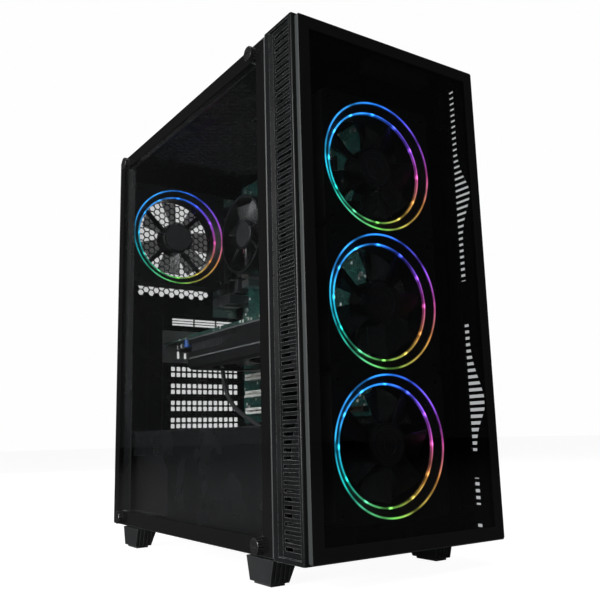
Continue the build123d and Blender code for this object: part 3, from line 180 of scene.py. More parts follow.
def coated(name, colour, rough=0.4, metallic=0.0, scale=900, depth=0.00002, cloud=25, spread=0.25,
           edge=None, edgeWidth=0.0006, coat=0.0, stretch=None, sheen=0.0, alpha=1.0, shine=0.5):
    # moulded, painted or rolled: grain, a slow change of tone and gloss, and lighter edges that are partly
    # rubbed wear and partly painted highlight
    material, tree, shader, coords = startMaterial(name)
    vector = coords
    if stretch:
        mapping = addNode(tree, "Mapping", Scale=stretch)
        tree.links.new(coords, mapping.inputs["Vector"])
        vector = mapping.outputs["Vector"]
    texture = placeGroup(tree, grain, vector, Scale=scale, Cloud=cloud)
    dark = tuple(c * (1 - spread) for c in colour)
    light = tuple(min(1, c * (1 + spread)) for c in colour)
    tone = ramp(tree, texture.outputs["Cloud"], [(0.3, dark), (0.7, light)])
    # lighter edge colour: partly wear, partly a painted highlight standing in for bevels that would catch the
    # light
    if edge:
        mask = placeGroup(tree, wearAndHighlight, coords, Width=edgeWidth).outputs["Mask"]
        tone = mixColours(tree, mask, tone, edge)
    wire(tree, (tone, shader.inputs["Base Color"]))
    gloss = addNode(tree, "MapRange", i3=rough * 0.8, i4=min(1, rough * 1.25))
    wire(tree, (texture.outputs["Cloud"], gloss.inputs["Value"]),
         (gloss.outputs["Result"], shader.inputs["Roughness"]))
    bumpFrom(tree, shader, texture.outputs["Height"], depth)
    shader.inputs["Metallic"].default_value = metallic
    shader.inputs["Coat Weight"].default_value = coat
    shader.inputs["Coat Roughness"].default_value = coatRoughness
    shader.inputs["Sheen Weight"].default_value = sheen
    shader.inputs["Alpha"].default_value = alpha
    shader.inputs["Specular IOR Level"].default_value = shine
    return material


def straightRay(tree):
    # 1 for rays that reach the eye with no bounce, whether or not glass is in the way
    path = addNode(tree, "LightPath")
    bounces = addNode(tree, "Math", {"operation": "ADD"})
    none = addNode(tree, "Math", {"operation": "LESS_THAN"}, i1=0.5)
    wire(tree, (path.outputs["Diffuse Depth"], bounces.inputs[0]),
         (path.outputs["Glossy Depth"], bounces.inputs[1]),
         (bounces.outputs["Value"], none.inputs[0]))
    return none.outputs["Value"]


glassDetail = {"ior": 1.45, "ripple": 14, "smears": 9, "haze": 0.035, "rimRoughness": 0.35,
               "rimTone": (0.035, 0.038, 0.038, 1), "enamelRoughness": 0.12,
               "enamelTone": (0.004, 0.004, 0.004, 1)}


def pane(name, node, tint, level, axis, border):
    # clear tempered glass that lamps shine through, with faint smears and a dark ground rim
    material, tree, shader, coords = startMaterial(name)
    shader.inputs["Transmission Weight"].default_value = 1
    shader.inputs["IOR"].default_value = glassDetail["ior"]
    shader.inputs["Specular IOR Level"].default_value = level
    texture = placeGroup(tree, grain, coords, Scale=glassDetail["ripple"], Cloud=glassDetail["smears"])
    tone = ramp(tree, texture.outputs["Cloud"], [(0.3, tuple(c * 0.97 for c in tint)), (0.7, tint)])
    smear = addNode(tree, "MapRange", i3=0.0, i4=glassDetail["haze"])
    wire(tree, (tone, shader.inputs["Base Color"]), (texture.outputs["Cloud"], smear.inputs["Value"]),
         (smear.outputs["Result"], shader.inputs["Roughness"]))
    clear = addNode(tree, "BsdfTransparent", Color=(*tint, 1))
    path = addNode(tree, "LightPath")
    mix = addNode(tree, "MixShader")
    facing = addNode(tree, "SeparateXYZ")
    size = addNode(tree, "Math", {"operation": "ABSOLUTE"})
    onRim = addNode(tree, "Math", {"operation": "LESS_THAN"}, i1=0.95)
    rim = addNode(tree, "BsdfPrincipled", Roughness=glassDetail["rimRoughness"],
                  **{"Base Color": glassDetail["rimTone"]})
    full = addNode(tree, "MixShader")
    # a black enamel border, printed round the pane
    low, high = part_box(node)
    centred = addNode(tree, "Mapping", Location=[-(a + b) / 2 for a, b in zip(low, high)])
    across = addNode(tree, "VectorMath", {"operation": "ABSOLUTE"})
    halfSizes = [1 if letter == axis else (b - a) / 2 - border for letter, a, b in zip("XYZ", low, high)]
    outside = addNode(tree, "VectorMath", {"operation": "SUBTRACT"}, i1=halfSizes)
    parts = addNode(tree, "SeparateXYZ")
    wide = [letter for letter in "XYZ" if letter != axis]
    furthest = addNode(tree, "Math", {"operation": "MAXIMUM"})
    printed = addNode(tree, "Math", {"operation": "GREATER_THAN"}, i1=0.0)
    enamel = addNode(tree, "BsdfPrincipled", Roughness=glassDetail["enamelRoughness"],
                     **{"Base Color": glassDetail["enamelTone"]})
    framed = addNode(tree, "MixShader")
    wire(tree, (coords, centred.inputs["Vector"]), (centred.outputs["Vector"], across.inputs[0]),
         (across.outputs["Vector"], outside.inputs[0]), (outside.outputs["Vector"], parts.inputs[0]),
         (parts.outputs[wide[0]], furthest.inputs[0]), (parts.outputs[wide[1]], furthest.inputs[1]),
         (furthest.outputs["Value"], printed.inputs[0]), (printed.outputs["Value"], framed.inputs[0]),
         (mix.outputs[0], framed.inputs[1]), (enamel.outputs[0], framed.inputs[2]))
    output = tree.nodes["Material Output"]
    wire(tree, (path.outputs["Is Shadow Ray"], mix.inputs[0]), (shader.outputs[0], mix.inputs[1]),
         (clear.outputs[0], mix.inputs[2]), (coords.node.outputs["Normal"], facing.inputs[0]),
         (facing.outputs[axis], size.inputs[0]), (size.outputs["Value"], onRim.inputs[0]),
         (onRim.outputs["Value"], full.inputs[0]), (framed.outputs[0], full.inputs[1]),
         (rim.outputs[0], full.inputs[2]), (full.outputs[0], output.inputs["Surface"]))
    return material


boardPattern = {"tracks": 140, "fineTracks": 75, "trackWidth": 0.018, "vias": 420,
                "viaTone": (0.5, 0.48, 0.38), "parts": 190, "partShare": 0.5, "partSize": 0.3,
                "roughness": 0.32, "trackHeight": 0.00004}


def circuitBoard(name, mask, trace):
    # solder resist over fine tracks, with plated vias and small parts scattered over them
    material, tree, shader, coords = startMaterial(name)
    tracks = addNode(tree, "TexVoronoi", {"distance": "CHEBYCHEV", "feature": "DISTANCE_TO_EDGE"},
                     Scale=boardPattern["tracks"])
    fineTracks = addNode(tree, "TexBrick", {"offset": 0.35}, Scale=boardPattern["fineTracks"],
                         **{"Mortar Size": boardPattern["trackWidth"]})
    vias = addNode(tree, "TexVoronoi", Scale=boardPattern["vias"])
    texture = placeGroup(tree, grain, coords, Scale=500, Cloud=22)
    swap = addNode(tree, "Mapping", Rotation=(0, radians(90), 0))
    wire(tree, (coords, tracks.inputs["Vector"]), (coords, vias.inputs["Vector"]),
         (coords, swap.inputs["Vector"]), (swap.outputs["Vector"], fineTracks.inputs["Vector"]))
    line = ramp(tree, tracks.outputs["Distance"], [(0.0, (1, 1, 1)), (0.05, (0, 0, 0))])
    dot = ramp(tree, vias.outputs["Distance"], [(0.08, (1, 1, 1)), (0.13, (0, 0, 0))])
    darkMask = tuple(c * 0.7 for c in mask)
    dimTrace = tuple(c * 0.85 for c in trace)
    base = ramp(tree, texture.outputs["Cloud"], [(0.35, darkMask), (0.65, mask)])
    withLines = mixColours(tree, line, base, trace)
    withFine = mixColours(tree, fineTracks.outputs["Fac"], withLines, dimTrace)
    withVias = mixColours(tree, dot, withFine, boardPattern["viaTone"])
    blocks = addNode(tree, "TexVoronoi", {"distance": "CHEBYCHEV"}, Scale=boardPattern["parts"],
                     Randomness=0.8)
    chance = addNode(tree, "SeparateColor")
    wire(tree, (coords, blocks.inputs["Vector"]), (blocks.outputs["Color"], chance.inputs[0]))
    picked = addNode(tree, "Math", {"operation": "GREATER_THAN"}, i1=boardPattern["partShare"])
    within = addNode(tree, "Math", {"operation": "LESS_THAN"}, i1=boardPattern["partSize"])
    part = addNode(tree, "Math", {"operation": "MULTIPLY"})
    wire(tree, (chance.outputs["Red"], picked.inputs[0]), (blocks.outputs["Distance"], within.inputs[0]),
         (picked.outputs["Value"], part.inputs[0]), (within.outputs["Value"], part.inputs[1]))
    partTone = ramp(tree, chance.outputs["Green"],
                    [(0.0, (0.006, 0.006, 0.006)), (0.5, (0.02, 0.018, 0.016)),
                     (0.6, (0.3, 0.29, 0.25)), (1, (0.6, 0.6, 0.58))])
    full = mixColours(tree, part.outputs["Value"], withVias, partTone)
    wire(tree, (full, shader.inputs["Base Color"]))
    shader.inputs["Roughness"].default_value = boardPattern["roughness"]
    bumpFrom(tree, shader, line, boardPattern["trackHeight"])
    return material


ringDetail = {"radii": (0.0575, 0.0501), "innerEnds": 0.053, "halfWidth": 0.0011, "outsideLevel": 0.04,
              "lamps": 12, "lampWidth": 0.11, "lampLevel": 2.6, "fanPitch": 0.12,
              "frontLevel": 2.6, "rearLevel": 0.9, "strength": 1.7, "roughness": 0.35}


def lightRing(name, front, rear):
    # rainbow by angle about each fan's centre, with the lamps showing as brighter spots on the inner ring
    material, tree, shader, coords = startMaterial(name)
    turnUp = Vector((radians(-90), 0, 0))
    halfPitch = ringDetail["fanPitch"] / 2
    angles = []
    for (x, z), wrapped in ((front, True), (rear, False)):
        shift = addNode(tree, "Mapping", Location=(-x, 0, -z))
        source = shift.outputs["Vector"]
        wire(tree, (coords, shift.inputs["Vector"]))
        if wrapped:
            # the front fans stand one above the other, so one pattern repeats at their pitch
            wrap = addNode(tree, "VectorMath", {"operation": "WRAP"},
                           i1=(1, 1, halfPitch), i2=(-1, -1, -halfPitch))
            wire(tree, (source, wrap.inputs[0]))
            source = wrap.outputs["Vector"]
        flat = addNode(tree, "Mapping", Rotation=turnUp, Scale=(1, 0, 1))  # flattened along the fan's axis
        wire(tree, (source, flat.inputs["Vector"]))
        angles.append(flat.outputs["Vector"])
    place = addNode(tree, "SeparateXYZ")
    isRear = addNode(tree, "Math", {"operation": "GREATER_THAN"}, i1=0.0)
    pick = addNode(tree, "Mix", {"data_type": "VECTOR"})
    pickInputs = [entry for entry in pick.inputs if entry.type == "VECTOR"]
    sweep = addNode(tree, "TexGradient", {"gradient_type": "RADIAL"})
    wire(tree, (coords, place.inputs["Vector"]), (place.outputs["Y"], isRear.inputs[0]),
         (isRear.outputs["Value"], pick.inputs[0]), (angles[0], pickInputs[-2]), (angles[1], pickInputs[-1]))
    angle = [entry for entry in pick.outputs if entry.type == "VECTOR"][0]
    wire(tree, (angle, sweep.inputs["Vector"]))
    cyan, teal, lime, gold, orange, pink = ((0.02, 0.5, 0.8), (0.01, 0.42, 0.32), (0.14, 0.5, 0.08),
                                            (0.42, 0.32, 0.06), (0.5, 0.2, 0.05), (0.55, 0.08, 0.3))
    violet, blue, azure, sky = (0.28, 0.08, 0.75), (0.06, 0.1, 0.9), (0.02, 0.24, 1.0), (0.04, 0.38, 1.0)
    glow = ramp(tree, sweep.outputs["Fac"],
                [(0, cyan), (0.09, teal), (0.25, lime), (0.335, gold), (0.42, orange), (0.5, pink),
                 (0.585, violet), (0.665, blue), (0.75, azure), (0.84, sky), (0.93, sky), (1, cyan)])
    radius = addNode(tree, "VectorMath", {"operation": "LENGTH"})
    inner = addNode(tree, "Math", {"operation": "LESS_THAN"}, i1=ringDetail["innerEnds"])
    lamps = addNode(tree, "Math", {"operation": "MULTIPLY"}, i1=ringDetail["lamps"])
    beat = addNode(tree, "Math", {"operation": "PINGPONG"}, i1=0.5)
    spot = addNode(tree, "MapRange", i1=ringDetail["lampWidth"], i2=0.0, i3=0.0, i4=ringDetail["lampLevel"])
    both = addNode(tree, "Math", {"operation": "MULTIPLY"})
    uneven = addNode(tree, "TexNoise", Scale=55, Detail=1)
    swell = addNode(tree, "MapRange", i1=0.35, i2=0.65, i3=0.15, i4=1.1)
    power = addNode(tree, "Math", {"operation": "ADD"})
    ringWidth = addNode(tree, "MapRange", i1=0.0, i2=ringDetail["halfWidth"],
                        i3=1.0, i4=ringDetail["outsideLevel"])
    offCentre = []
    for middleRadius in ringDetail["radii"]:
        away = addNode(tree, "Math", {"operation": "SUBTRACT"}, i1=middleRadius)
        gap = addNode(tree, "Math", {"operation": "ABSOLUTE"})
        wire(tree, (radius.outputs["Value"], away.inputs[0]), (away.outputs["Value"], gap.inputs[0]))
        offCentre.append(gap.outputs["Value"])
    nearest = addNode(tree, "Math", {"operation": "MINIMUM"})
    core = addNode(tree, "Math", {"operation": "MULTIPLY"})
    level = addNode(tree, "MapRange", i3=ringDetail["frontLevel"], i4=ringDetail["rearLevel"])
    total = addNode(tree, "Math", {"operation": "MULTIPLY"})
    scaled = addNode(tree, "VectorMath", {"operation": "SCALE"})
    wire(tree, (offCentre[0], nearest.inputs[0]), (offCentre[1], nearest.inputs[1]),
         (nearest.outputs["Value"], ringWidth.inputs["Value"]), (ringWidth.outputs["Result"], core.inputs[0]),
         (power.outputs["Value"], core.inputs[1]), (isRear.outputs["Value"], level.inputs["Value"]),
         (level.outputs["Result"], total.inputs[0]), (core.outputs["Value"], total.inputs[1]),
         (coords, uneven.inputs["Vector"]), (uneven.outputs["Fac"], swell.inputs["Value"]),
         (swell.outputs["Result"], power.inputs[1]))
    wire(tree, (angle, radius.inputs[0]), (radius.outputs["Value"], inner.inputs[0]),
         (sweep.outputs["Fac"], lamps.inputs[0]), (lamps.outputs["Value"], beat.inputs[0]),
         (beat.outputs["Value"], spot.inputs["Value"]), (spot.outputs["Result"], both.inputs[0]),
         (inner.outputs["Value"], both.inputs[1]), (both.outputs["Value"], power.inputs[0]),
         (glow, scaled.inputs[0]), (total.outputs["Value"], scaled.inputs["Scale"]),
         (scaled.outputs["Vector"], shader.inputs["Emission Color"]), (glow, shader.inputs["Base Color"]))
    shader.inputs["Emission Strength"].default_value = ringDetail["strength"]
    shader.inputs["Roughness"].default_value = ringDetail["roughness"]
    return material


def filterMesh(name, pitch):
    # woven screen: two sets of threads, darker between them
    material, tree, shader, coords = startMaterial(name)
    waves = []
    for direction in ("X", "Y"):
        wave = addNode(tree, "TexWave", {"bands_direction": direction}, Scale=0.314 / pitch)
        wire(tree, (coords, wave.inputs["Vector"]))
        waves.append(wave.outputs["Fac"])
    high = addNode(tree, "Math", {"operation": "MAXIMUM"})
    wire(tree, (waves[0], high.inputs[0]), (waves[1], high.inputs[1]))
    texture = placeGroup(tree, grain, coords, Scale=600, Cloud=30)
    threads = ramp(tree, high.outputs["Value"],
                   [(0.55, (0.004, 0.004, 0.004)), (0.85, (0.045, 0.046, 0.048))])
    dust = ramp(tree, texture.outputs["Cloud"], [(0.45, (0, 0, 0)), (0.8, (0.25, 0.25, 0.25))])
    tone = mixColours(tree, dust, threads, (0.07, 0.068, 0.064))
    wire(tree, (tone, shader.inputs["Base Color"]))
    shader.inputs["Roughness"].default_value = 0.75
    bumpFrom(tree, shader, high.outputs["Value"], 0.00015)
    return material


def sleeve(name, colour):
    # braided sleeve: crossed bands that run round the lead
    material, tree, shader, coords = startMaterial(name)
    waves = []
    for slope in (1, -1):
        turn = addNode(tree, "Mapping", Rotation=(radians(45 * slope), radians(40), radians(45 * slope)))
        wave = addNode(tree, "TexWave", Scale=260, Distortion=0.4)
        wire(tree, (coords, turn.inputs["Vector"]), (turn.outputs["Vector"], wave.inputs["Vector"]))
        waves.append(wave.outputs["Fac"])
    both = addNode(tree, "Math", {"operation": "MAXIMUM"})
    wire(tree, (waves[0], both.inputs[0]), (waves[1], both.inputs[1]))
    tone = ramp(tree, both.outputs["Value"], [(0.4, tuple(c * 0.4 for c in colour)), (0.9, colour)])
    wire(tree, (tone, shader.inputs["Base Color"]))
    shader.inputs["Roughness"].default_value = 0.6
    bumpFrom(tree, shader, both.outputs["Value"], 0.0002)
    return material


def turnedMetal(name, colour, rough=0.3):
    # fine streaks along the rolling direction, and lighter edges, partly wear and partly painted highlight
    return coated(name, colour, rough, metallic=1.0, scale=120, depth=0.00001, cloud=18, spread=0.12,
                  stretch=(1, 1, 30), edge=tuple(min(1, c * 1.3) for c in colour))


def fanCentre(node):
    low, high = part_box(node)
    return (low.x + high.x) / 2, (low.z + high.z) / 2


# edge colours in this table are partly rubbed wear and partly painted highlight along the edges
steelEdgeWearAndHighlight = (0.16, 0.165, 0.17)
materials = {
    "casePaint": coated("casePaint", (0.006, 0.0063, 0.0066), 0.26, scale=1500, depth=0.00003, edge=steelEdgeWearAndHighlight,
                        shine=0.28),
    "bezelPlastic": coated("bezelPlastic", (0.006, 0.0064, 0.0067), 0.24, scale=2200, depth=0.00002,
                           edge=(0.2, 0.205, 0.21), edgeWidth=0.0005, shine=0.22),
    "footPlastic": coated("footPlastic", (0.014, 0.015, 0.0155), 0.3, scale=1800, edge=(0.1, 0.105, 0.11)),
    "smokedGlass": pane("smokedGlass", "front_glass", (0.45, 0.46, 0.47), 0.2, "Y", 0.011),
    "tintedGlass": pane("tintedGlass", "side_glass", (0.77, 0.78, 0.785), 0.2, "X", 0.014),
    "fanPlastic": coated("fanPlastic", (0.006, 0.0062, 0.0064), 0.34, scale=1600,
                         edge=(0.06, 0.062, 0.065)),
    "bladePlastic": coated("bladePlastic", (0.012, 0.0125, 0.0135), 0.3, scale=1300, depth=0.00001, coat=0.1,
                           edge=(0.06, 0.062, 0.066), alpha=0.68),
    "ringLight": lightRing("ringLight", fanCentre("front_fan_frame_3"), fanCentre("rear_fan_frame")),
    "screwSteel": turnedMetal("screwSteel", (0.56, 0.56, 0.55)),
    "blackScrew": coated("blackScrew", (0.02, 0.02, 0.021), 0.28, metallic=0.6, edge=(0.25, 0.25, 0.25),
                         edgeWidth=0.0004),
    "footRubber": coated("footRubber", (0.012, 0.012, 0.012), 0.8, scale=1100, depth=0.00006, sheen=0.3),
    "filterMesh": filterMesh("filterMesh", 0.0009),
    "boardGreen": circuitBoard("boardGreen", (0.0022, 0.012, 0.0105), (0.028, 0.14, 0.115)),
    "cardGreen": circuitBoard("cardGreen", (0.006, 0.022, 0.018), (0.03, 0.12, 0.09)),
    "socketBlack": coated("socketBlack", (0.013, 0.013, 0.014), 0.35, edge=(0.07, 0.07, 0.07),
                          edgeWidth=0.0003),
    "socketWhite": coated("socketWhite", (0.72, 0.71, 0.67), 0.4, spread=0.06, edge=(0.9, 0.89, 0.86),
                          edgeWidth=0.0003),
    "socketBlue": coated("socketBlue", (0.01, 0.06, 0.24), 0.35, spread=0.1, edge=(0.08, 0.16, 0.4),
                         edgeWidth=0.0003),
    "sinkAluminium": turnedMetal("sinkAluminium", (0.5, 0.51, 0.53), 0.34),
    "brightSteel": turnedMetal("brightSteel", (0.6, 0.61, 0.62), 0.24),
    "satinSilver": coated("satinSilver", (0.16, 0.163, 0.167), 0.32, metallic=0.35, scale=1400, depth=0.00001,
                          spread=0.08, edge=(0.7, 0.71, 0.72), edgeWidth=0.0003),
    "portShell": coated("portShell", (0.045, 0.046, 0.048), 0.3, metallic=0.5, scale=1200,
                        edge=(0.7, 0.71, 0.72), edgeWidth=0.0005),
    "driveMetal": turnedMetal("driveMetal", (0.42, 0.43, 0.45), 0.4),
    "supplyPaint": coated("supplyPaint", (0.008, 0.008, 0.0085), 0.34, scale=1200, depth=0.00004,
                          edge=steelEdgeWearAndHighlight),
    "cableSleeve": sleeve("cableSleeve", (0.03, 0.03, 0.032)),
    "memoryPaint": coated("memoryPaint", (0.035, 0.037, 0.04), 0.35, metallic=0.4, edge=(0.3, 0.3, 0.3)),
    "chipPlastic": coated("chipPlastic", (0.016, 0.016, 0.017), 0.45, scale=2600, edge=(0.06, 0.06, 0.06),
                          edgeWidth=0.0002),
    "goldPins": turnedMetal("goldPins", (0.75, 0.55, 0.22), 0.25),
    "hubPaint": coated("hubPaint", (0.03, 0.03, 0.032), 0.3, spread=0.08, scale=700, edge=(0.2, 0.2, 0.2)),
}

slotMaterials = {
    "case_paint": "casePaint", "bezel_plastic": "bezelPlastic", "smoked_glass": "smokedGlass",
    "tinted_glass": "tintedGlass", "fan_plastic": "fanPlastic", "blade_plastic": "bladePlastic",
    "ring_light": "ringLight", "screw_steel": "screwSteel", "black_screw": "blackScrew",
    "foot_rubber": "footRubber", "filter_mesh": "filterMesh", "board_green": "boardGreen",
    "socket_black": "socketBlack", "socket_white": "socketWhite", "sink_aluminium": "sinkAluminium",
    "bright_steel": "brightSteel", "drive_metal": "driveMetal", "supply_paint": "supplyPaint",
    "cable_black": "cableSleeve", "memory_module": "memoryPaint",
}
for part in frame["record"]["subparts"]:
    node = nodes[part["node"]]
    node.data.materials.clear()
    node.data.materials.append(materials[slotMaterials[part["material_slot"]]])
ownMaterials = {"gpu_board": "cardGreen", "gpu_bracket": "satinSilver", "rear_io_ports": "portShell"}
for name, material in ownMaterials.items():
    nodes[name].data.materials[0] = materials[material]
print("materials ready:", len(materials))


# Helpers for new pieces. Each starts from a primitive, and its place ends up in its mesh.

def deselect():
    bpy.ops.object.select_all(action="DESELECT")


def applyAll(piece):
    deselect()
    piece.select_set(True)
    bpy.context.view_layer.objects.active = piece
    for modifier in list(piece.modifiers):
        bpy.ops.object.modifier_apply(modifier=modifier.name)
    bpy.ops.object.transform_apply(location=True, rotation=True, scale=True)
    return piece


def roundEdges(piece, width, segments=2):
    bevel = piece.modifiers.new("round", "BEVEL")
    bevel.width = width
    bevel.segments = segments
    bevel.limit_method = "ANGLE"
    return applyAll(piece)


def slab(low, high, edge=0.0003, segments=2):
    deselect()
    low, high = Vector(low), Vector(high)
    bpy.ops.mesh.primitive_cube_add(size=1, location=(low + high) / 2, scale=high - low)
    piece = bpy.context.object
    bpy.ops.object.transform_apply(location=True, rotation=True, scale=True)
    return roundEdges(piece, edge, segments)


smoothAngle = radians(35)
quarterTurns = {"X": (0, radians(90), 0), "Y": (radians(90), 0, 0), "Z": (0, 0, 0)}


def rod(centre, radius, length, axis, edge=0.0003, sides=32, segments=2):
    deselect()
    bpy.ops.mesh.primitive_cylinder_add(vertices=sides, radius=radius, depth=length, location=centre,
                                        rotation=quarterTurns[axis])
    piece = bpy.context.object
    bpy.ops.object.transform_apply(location=True, rotation=True, scale=True)
    piece = roundEdges(piece, edge, segments)
    bpy.ops.object.shade_smooth_by_angle(angle=smoothAngle)
    return piece


def pushFaces(piece, chosen, inset=0.0, along=(0, 0, 0)):
    # insets and pushes the faces that a test picks
    deselect()
    piece.select_set(True)
    bpy.context.view_layer.objects.active = piece
    bpy.ops.object.mode_set(mode="EDIT")
    bpy.ops.mesh.select_mode(type="FACE")
    bpy.ops.mesh.select_all(action="DESELECT")
    bpy.ops.object.mode_set(mode="OBJECT")
    for face in piece.data.polygons:
        face.select = chosen(face)
    bpy.ops.object.mode_set(mode="EDIT")
    if inset:
        bpy.ops.mesh.inset(thickness=inset, use_even_offset=True)
    if any(along):
        bpy.ops.mesh.extrude_region_move(TRANSFORM_OT_translate={"value": along})
    bpy.ops.object.mode_set(mode="OBJECT")
    return piece


def copyOf(piece, offset):
    twin = piece.copy()
    twin.data = piece.data.copy()
    twin.data.transform(Matrix.Translation(offset))
    bpy.context.scene.collection.objects.link(twin)
    return twin


def finishPiece(parts, name, body, material):
    deselect()
    for part in parts:
        part.select_set(True)
    bpy.context.view_layer.objects.active = parts[0]
    if len(parts) > 1:
        bpy.ops.object.join()
    piece = bpy.context.view_layer.objects.active
    piece.name = name
    piece.data.materials.clear()
    piece.data.materials.append(materials[material])
    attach(piece, body)
    return piece


# Feet: ribbed blocks that taper towards their pads
footDetail = {"x": 0.022, "y": 0.040, "taper": 0.005, "ribs": 5, "ribDepth": 0.0009, "ribInset": 0.0003,
              "edge": 0.0002}


def ribbedFoot(low, high, outer):
    # one foot from its top outline to its smaller lower outline, with upright ribs on its end faces
    deselect()
    bpy.ops.mesh.primitive_cube_add(size=1, location=(low + high) / 2, scale=high - low)
    foot = bpy.context.object
    bpy.ops.object.transform_apply(location=True, rotation=True, scale=True)
    taper = footDetail["taper"]
    for vertex in foot.data.vertices:
        if vertex.co.z < (low.z + high.z) / 2:
            vertex.co.y += taper if vertex.co.y < (low.y + high.y) / 2 else -taper
            if (vertex.co.x > (low.x + high.x) / 2) == (outer < 0):
                vertex.co.x -= taper * (1 if outer < 0 else -1)
    ribs = footDetail["ribs"] * 2 + 1
    bpy.ops.object.mode_set(mode="EDIT")
    for n in range(1, ribs):
        bpy.ops.mesh.select_all(action="SELECT")
        bpy.ops.mesh.bisect(plane_co=(low.x + (high.x - low.x) * n / ribs, 0, 0), plane_no=(1, 0, 0))
    bpy.ops.object.mode_set(mode="OBJECT")
    step = (high.x - low.x) / ribs

    def isGroove(face):
        return abs(face.normal.y) > 0.8 and int((face.center.x - low.x) / step) % 2 == 1

    for side in (-1, 1):
        push = (0, -side * footDetail["ribDepth"], 0)
        pushFaces(foot, lambda face: isGroove(face) and face.normal.y * side > 0,
                  footDetail["ribInset"], push)
    return roundEdges(foot, footDetail["edge"], 1)


feetLow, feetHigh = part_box("case_feet")
feet = []
for outer, x in ((-1, feetLow.x), (1, feetHigh.x - footDetail["x"])):
    for y in (feetLow.y, feetHigh.y - footDetail["y"]):
        feet.append(ribbedFoot(Vector((x, y, feetLow.z)),
                               Vector((x + footDetail["x"], y + footDetail["y"], feetHigh.z)), outer))
ribbedFeet = finishPiece(feet, "ribbed_feet", "root", "footPlastic")
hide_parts("case_feet")
print("feet made")

# Hub caps with turned rings, on the case fans and the cooler fan
hubDetail = {"radius": 0.0165, "coolerRadius": 0.0145, "height": 0.0006, "offset": 0.0002, "edge": 0.00015,
             "steps": 4, "stepWidth": 0.17, "stepHeight": 0.00025}


def hubCap(centre, axis, radius):
    # a thin disc with concentric steps on its outer face
    cap = rod(centre, radius, hubDetail["height"], axis, hubDetail["edge"], 48, 1)
    along = Vector({"X": (-1, 0, 0), "Y": (0, -1, 0)}[axis])
    for number in range(hubDetail["steps"]):
        lift = along * hubDetail["stepHeight"] * (1 if number % 2 else -1)
        pushFaces(cap, lambda face: face.normal.dot(along) > 0.99 and len(face.vertices) > 8,
                  radius * hubDetail["stepWidth"], lift)
    return cap


def middleOf(node):
    low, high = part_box(node)
    return (low + high) / 2


for fan in ("front_fan_1", "front_fan_2", "front_fan_3", "rear_fan"):
    rotor = fan.replace("fan", "fan_rotor")
    middle = middleOf(rotor.replace("rotor", "frame"))
    cap = hubCap((middle.x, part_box(rotor)[0].y - hubDetail["offset"], middle.z), "Y", hubDetail["radius"])
    finishPiece([cap], rotor.replace("rotor", "hub_cap"), fan, "hubPaint")
cooler = middleOf("cpu_fan_frame")
coolerCap = hubCap((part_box("cpu_fan_rotor")[0].x - hubDetail["offset"], cooler.y, cooler.z), "X",
                   hubDetail["coolerRadius"])
finishPiece([coolerCap], "cpu_fan_hub_cap", "cpu_fan", "chipPlastic")
print("hub caps made")

# What stands on the motherboard. Each piece is placed from the cooler or from a corner of the board.
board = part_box("motherboard")
boardFace = board[0].x


def onBoard(y, z, height, sizeY, sizeZ, edge=0.0003):
    return slab((boardFace - height, y - sizeY / 2, z - sizeZ / 2),
                (boardFace, y + sizeY / 2, z + sizeZ / 2), edge)


def isOuterFace(face):
    return face.normal.x < -0.99


capacitorDetail = {"radius": 0.0036, "height": 0.0085, "edge": 0.0005, "lip": 0.2, "dent": 0.0004}
# first y and z of each row, the step in y and z, and how many stand in it
capacitorRows = ((cooler.y + 0.05, cooler.z + 0.06, 0, -0.0095, 9),
                 (cooler.y + 0.035, cooler.z + 0.07, -0.0095, 0, 6),
                 (cooler.y - 0.045, cooler.z - 0.05, 0, -0.011, 3),
                 (board[1].y - 0.03, board[0].z + 0.012, -0.012, 0, 4))
places = [(y + stepY * n, z + stepZ * n)
          for y, z, stepY, stepZ, count in capacitorRows for n in range(count)]
firstY, firstZ = places[0]
can = rod((boardFace - capacitorDetail["height"] / 2, firstY, firstZ), capacitorDetail["radius"],
          capacitorDetail["height"], "X", capacitorDetail["edge"], 24)
can = pushFaces(can, isOuterFace, capacitorDetail["radius"] * capacitorDetail["lip"],
                (capacitorDetail["dent"], 0, 0))
cans = [can] + [copyOf(can, (0, y - firstY, z - firstZ)) for y, z in places[1:]]
finishPiece(cans, "board_capacitors", "root", "brightSteel")

chokeDetail = {"count": 7, "y": 0.0385, "z": 0.042, "pitch": 0.0135, "height": 0.0072,
               "size": (0.0075, 0.0092), "edge": 0.0006, "lip": 0.0012, "rise": 0.0003}
chokes = []
for n in range(chokeDetail["count"]):
    choke = onBoard(cooler.y + chokeDetail["y"], cooler.z + chokeDetail["z"] - n * chokeDetail["pitch"],
                    chokeDetail["height"], *chokeDetail["size"], chokeDetail["edge"])
    chokes.append(pushFaces(choke, isOuterFace, chokeDetail["lip"], (-chokeDetail["rise"], 0, 0)))
finishPiece(chokes, "board_chokes", "root", "memoryPaint")

